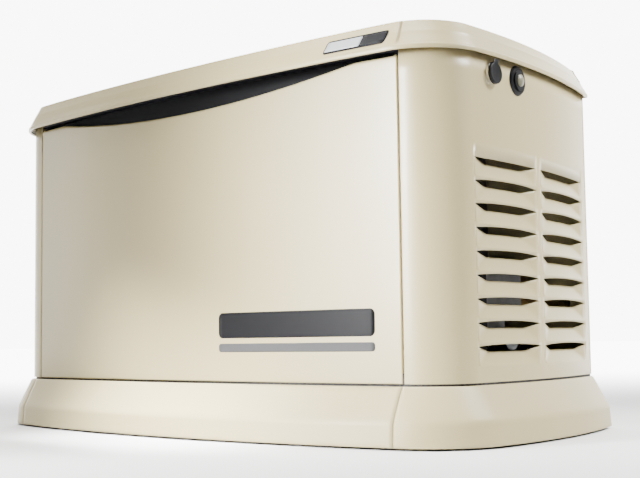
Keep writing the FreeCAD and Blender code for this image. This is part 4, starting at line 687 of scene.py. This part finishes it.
lid_mesh = bmesh.new()
lid_mesh.from_mesh(bpy.data.objects["lid_skin"].data)
lid_tree = BVHTree.FromBMesh(lid_mesh)
lid_mesh.free()
badge_low, badge_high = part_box("lid_badge")
bx0, bx1, bz0, bz1 = badge_low[0], badge_high[0] - 0.005, badge_low[2] + 0.0034, badge_high[2] - 0.0004
film("badge_frame", rounded(bx0, bz0, bx1, bz1, 0.005, 0.005), "decal_film", "lid", on_band, 0.0002,
     ["lid_badge"], 0.0010)
split = bx0 + (bx1 - bx0) * 0.60
film("badge_silver", rounded(bx0 + 0.003, bz0 + 0.003, split, bz1 - 0.003, 0.003, 0.004), "badge_plate",
     "lid",
     on_band, 0.0013)
film("badge_dark", rounded(split + 0.002, bz0 + 0.003, bx1 - 0.003, bz1 - 0.003, 0.003, 0.004),
     "black_plastic",
     "lid", on_band, 0.0013)

case_arc = (seam_x ** 2 + 0.026 ** 2) / 0.052
decal_low, decal_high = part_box("front_decal")
dx0, dx1, dz0, dz1 = decal_low[0], decal_high[0], decal_low[2], decal_high[2]
film("decal_bar", rounded(dx0, dz0 + 0.030, dx1, dz1, 0.010), "decal_film", "front_panel", on_front,
     0.0002,
     ["front_decal"])
film("decal_stripe", rounded(dx0, dz0 + 0.004, dx1, dz0 + 0.020, 0.006), "stripe_grey", "front_panel",
     on_front,
     0.0002)

# dust cover: disc with an ear that wraps the hinge
cover_low, cover_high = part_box("lock_cover")
(lx, ly), (lnx, lny) = at_y((cover_low[1] + cover_high[1]) / 2)
centre_z = cover_low[2] + 0.0185
out_dir, along = Vector((lnx, lny, 0)), Vector((-lny, lnx, 0))


def cover_point(u, v, w):
    return Vector((lx, ly, centre_z)) + out_dir * u + along * v + Vector((0, 0, w))


def turned(name, profile, material, body, stands_for=(), steps=64, ear=None, centre=cover_point, **more):
    """A round piece from (radius, height) pairs about the outward normal, with an optional ear at the top."""
    rows = []
    for radius, height in profile:
        row = []
        for n in range(steps):
            a = 2 * math.pi * n / steps
            v, w = radius * math.sin(a), radius * math.cos(a)
            if ear and radius > ear[0] and w > 0 and abs(v) < ear[1]:
                w = max(w, ear[2] - (0.019 - radius))
            row.append(centre(height, v, w))
        rows.append(row)
    points, faces = grid(rows, closed=True)
    for base in (0, (len(rows) - 1) * steps):
        faces.append(tuple(range(base, base + steps)))
    return build(name, points, faces, material, body, stands_for, sharp=35, **more)


turned("cover_disc", [(0.0175, 0.0066), (0.0190, 0.0070), (0.0190, 0.0094), (0.0184, 0.0104),
                      (0.0165, 0.0110),
                      (0.0150, 0.0106), (0.0135, 0.0104)], "black_plastic", "lock_cover", ["lock_cover"],
       ear=(0.0160, 0.0062, 0.0245))

# ---------------------------------------------------------------- every other piece keeps its model shape
SLOTS = {s["node"]: s["material_slot"] for s in frame["record"]["subparts"]}
REPLACED = {"lid", "side_panel_right", "side_panel_left", "front_panel", "fascia_front", "fascia_right",
            "fascia_rear", "fascia_left", "lid_badge", "front_decal", "lock_cover"}
for name, item in nodes.items():
    dress(item, SLOTS[name])
    if name in REPLACED:
        continue
    soft = item.modifiers.new("soften", "BEVEL")
    soft.width = 0.0005
    soft.segments = 2
    soft.limit_method = "ANGLE"
    soft.angle_limit = math.radians(35)

# ---------------------------------------------------------------- floor, light and camera
BACKDROP = (-0.676, 0.737, 0.0)
mesh = bpy.data.meshes.new("floor")
mesh.from_pydata([(-30, -30, 0), (30, -30, 0), (30, 30, 0), (-30, 30, 0)], [], [(0, 1, 2, 3)])
floor = bpy.data.objects.new("floor", mesh)
bpy.context.scene.collection.objects.link(floor)
floor.data.materials.append(surface("floor", (0.80, 0.80, 0.80), 0.8, vary=0.01, bump=0.02))
tree = floor.data.materials[0].node_tree
away = tree.nodes.new("ShaderNodeNewGeometry")
behind = tree.nodes.new("ShaderNodeVectorMath")
behind.operation = "DOT_PRODUCT"
behind.inputs[1].default_value = BACKDROP
tree.links.new(away.outputs["Position"], behind.inputs[0])
fade = tree.nodes.new("ShaderNodeMapRange")
fade.interpolation_type = "SMOOTHSTEP"
fade.inputs["From Min"].default_value = 0.5
fade.inputs["From Max"].default_value = 4.0
fade.inputs["To Max"].default_value = 9.0
tree.links.new(behind.outputs["Value"], fade.inputs["Value"])
base = next(n for n in tree.nodes if n.type == "BSDF_PRINCIPLED")
base.inputs["Emission Color"].default_value = (1, 1, 1, 1)
tree.links.new(fade.outputs["Result"], base.inputs["Emission Strength"])


def lamp(name, place, aim, size, power, colour=(1, 1, 1), spread=180):
    data = bpy.data.lights.new(name, "AREA")
    data.shape = "RECTANGLE"
    data.size, data.size_y = size
    data.energy = power
    data.color = colour
    data.spread = math.radians(spread)
    item = bpy.data.objects.new(name, data)
    item.location = place
    item.rotation_mode = "QUATERNION"
    item.rotation_quaternion = (Vector(aim) - Vector(place)).to_track_quat("-Z", "Y")
    bpy.context.scene.collection.objects.link(item)


lamp("front_box", (-0.10, -1.70, 0.70), (0.46, -0.26, 0.33), (0.35, 0.9), 11, spread=40)
lamp("top_box", (-0.1, -0.75, 2.4), (-0.1, -0.33, 0.2), (2.2, 0.5), 24)
lamp("left_box", (-2.2, -1.1, 0.9), (-0.5, -0.2, 0.3), (0.4, 1.6), 14)
lamp("side_box", (1.75, 0.75, 1.75), (0.62, 0.16, 0.35), (0.7, 0.7), 24, spread=80)
lamp("foot_box", (-0.1, -0.95, 1.15), (0.0, -0.36, 0.05), (0.5, 0.06), 5, spread=22)
lamp("floor_box", (0.6, -0.9, 2.8), (0.6, -0.9, 0.0), (2.6, 1.2), 30, spread=60)
world = bpy.data.worlds.new("studio")
bpy.context.scene.world = world
world.use_nodes = True
tree = world.node_tree
around = tree.nodes.new("ShaderNodeTexCoord")
facing = tree.nodes.new("ShaderNodeVectorMath")
facing.operation = "DOT_PRODUCT"
facing.inputs[1].default_value = BACKDROP
tree.links.new(around.outputs["Generated"], facing.inputs[0])
glow = tree.nodes.new("ShaderNodeMapRange")
glow.interpolation_type = "SMOOTHSTEP"
glow.inputs["From Min"].default_value = 0.50
glow.inputs["From Max"].default_value = 0.90
glow.inputs["To Min"].default_value = 0.16
glow.inputs["To Max"].default_value = 9.0
tree.links.new(facing.outputs["Value"], glow.inputs["Value"])
tree.nodes["Background"].inputs[0].default_value = (1, 1, 1, 1)
tree.links.new(glow.outputs["Result"], tree.nodes["Background"].inputs[1])

camera_data = bpy.data.cameras.new("camera")
camera = bpy.data.objects.new("camera", camera_data)
bpy.context.scene.collection.objects.link(camera)
camera_data.sensor_width = 36
camera_data.lens = 36 * 1202.288 / 640
camera_data.dof.use_dof = False
camera_data.clip_start, camera_data.clip_end = 0.01, 100
yaw, pitch, roll = (math.radians(a) for a in (42.52, 4.746, -0.777))
ahead = Vector((-math.sin(yaw) * math.cos(pitch), math.cos(yaw) * math.cos(pitch), math.sin(pitch)))
right = Vector((math.cos(yaw), math.sin(yaw), 0))
up = right.cross(ahead)
right_roll = math.cos(roll) * right + math.sin(roll) * up
up_roll = -math.sin(roll) * right + math.cos(roll) * up
turn = Matrix((right_roll, up_roll, -ahead)).transposed()
camera.matrix_world = Matrix.Translation(Vector((1.7927, -1.8336, 0.1848))) @ turn.to_4x4()
bpy.context.scene.camera = camera
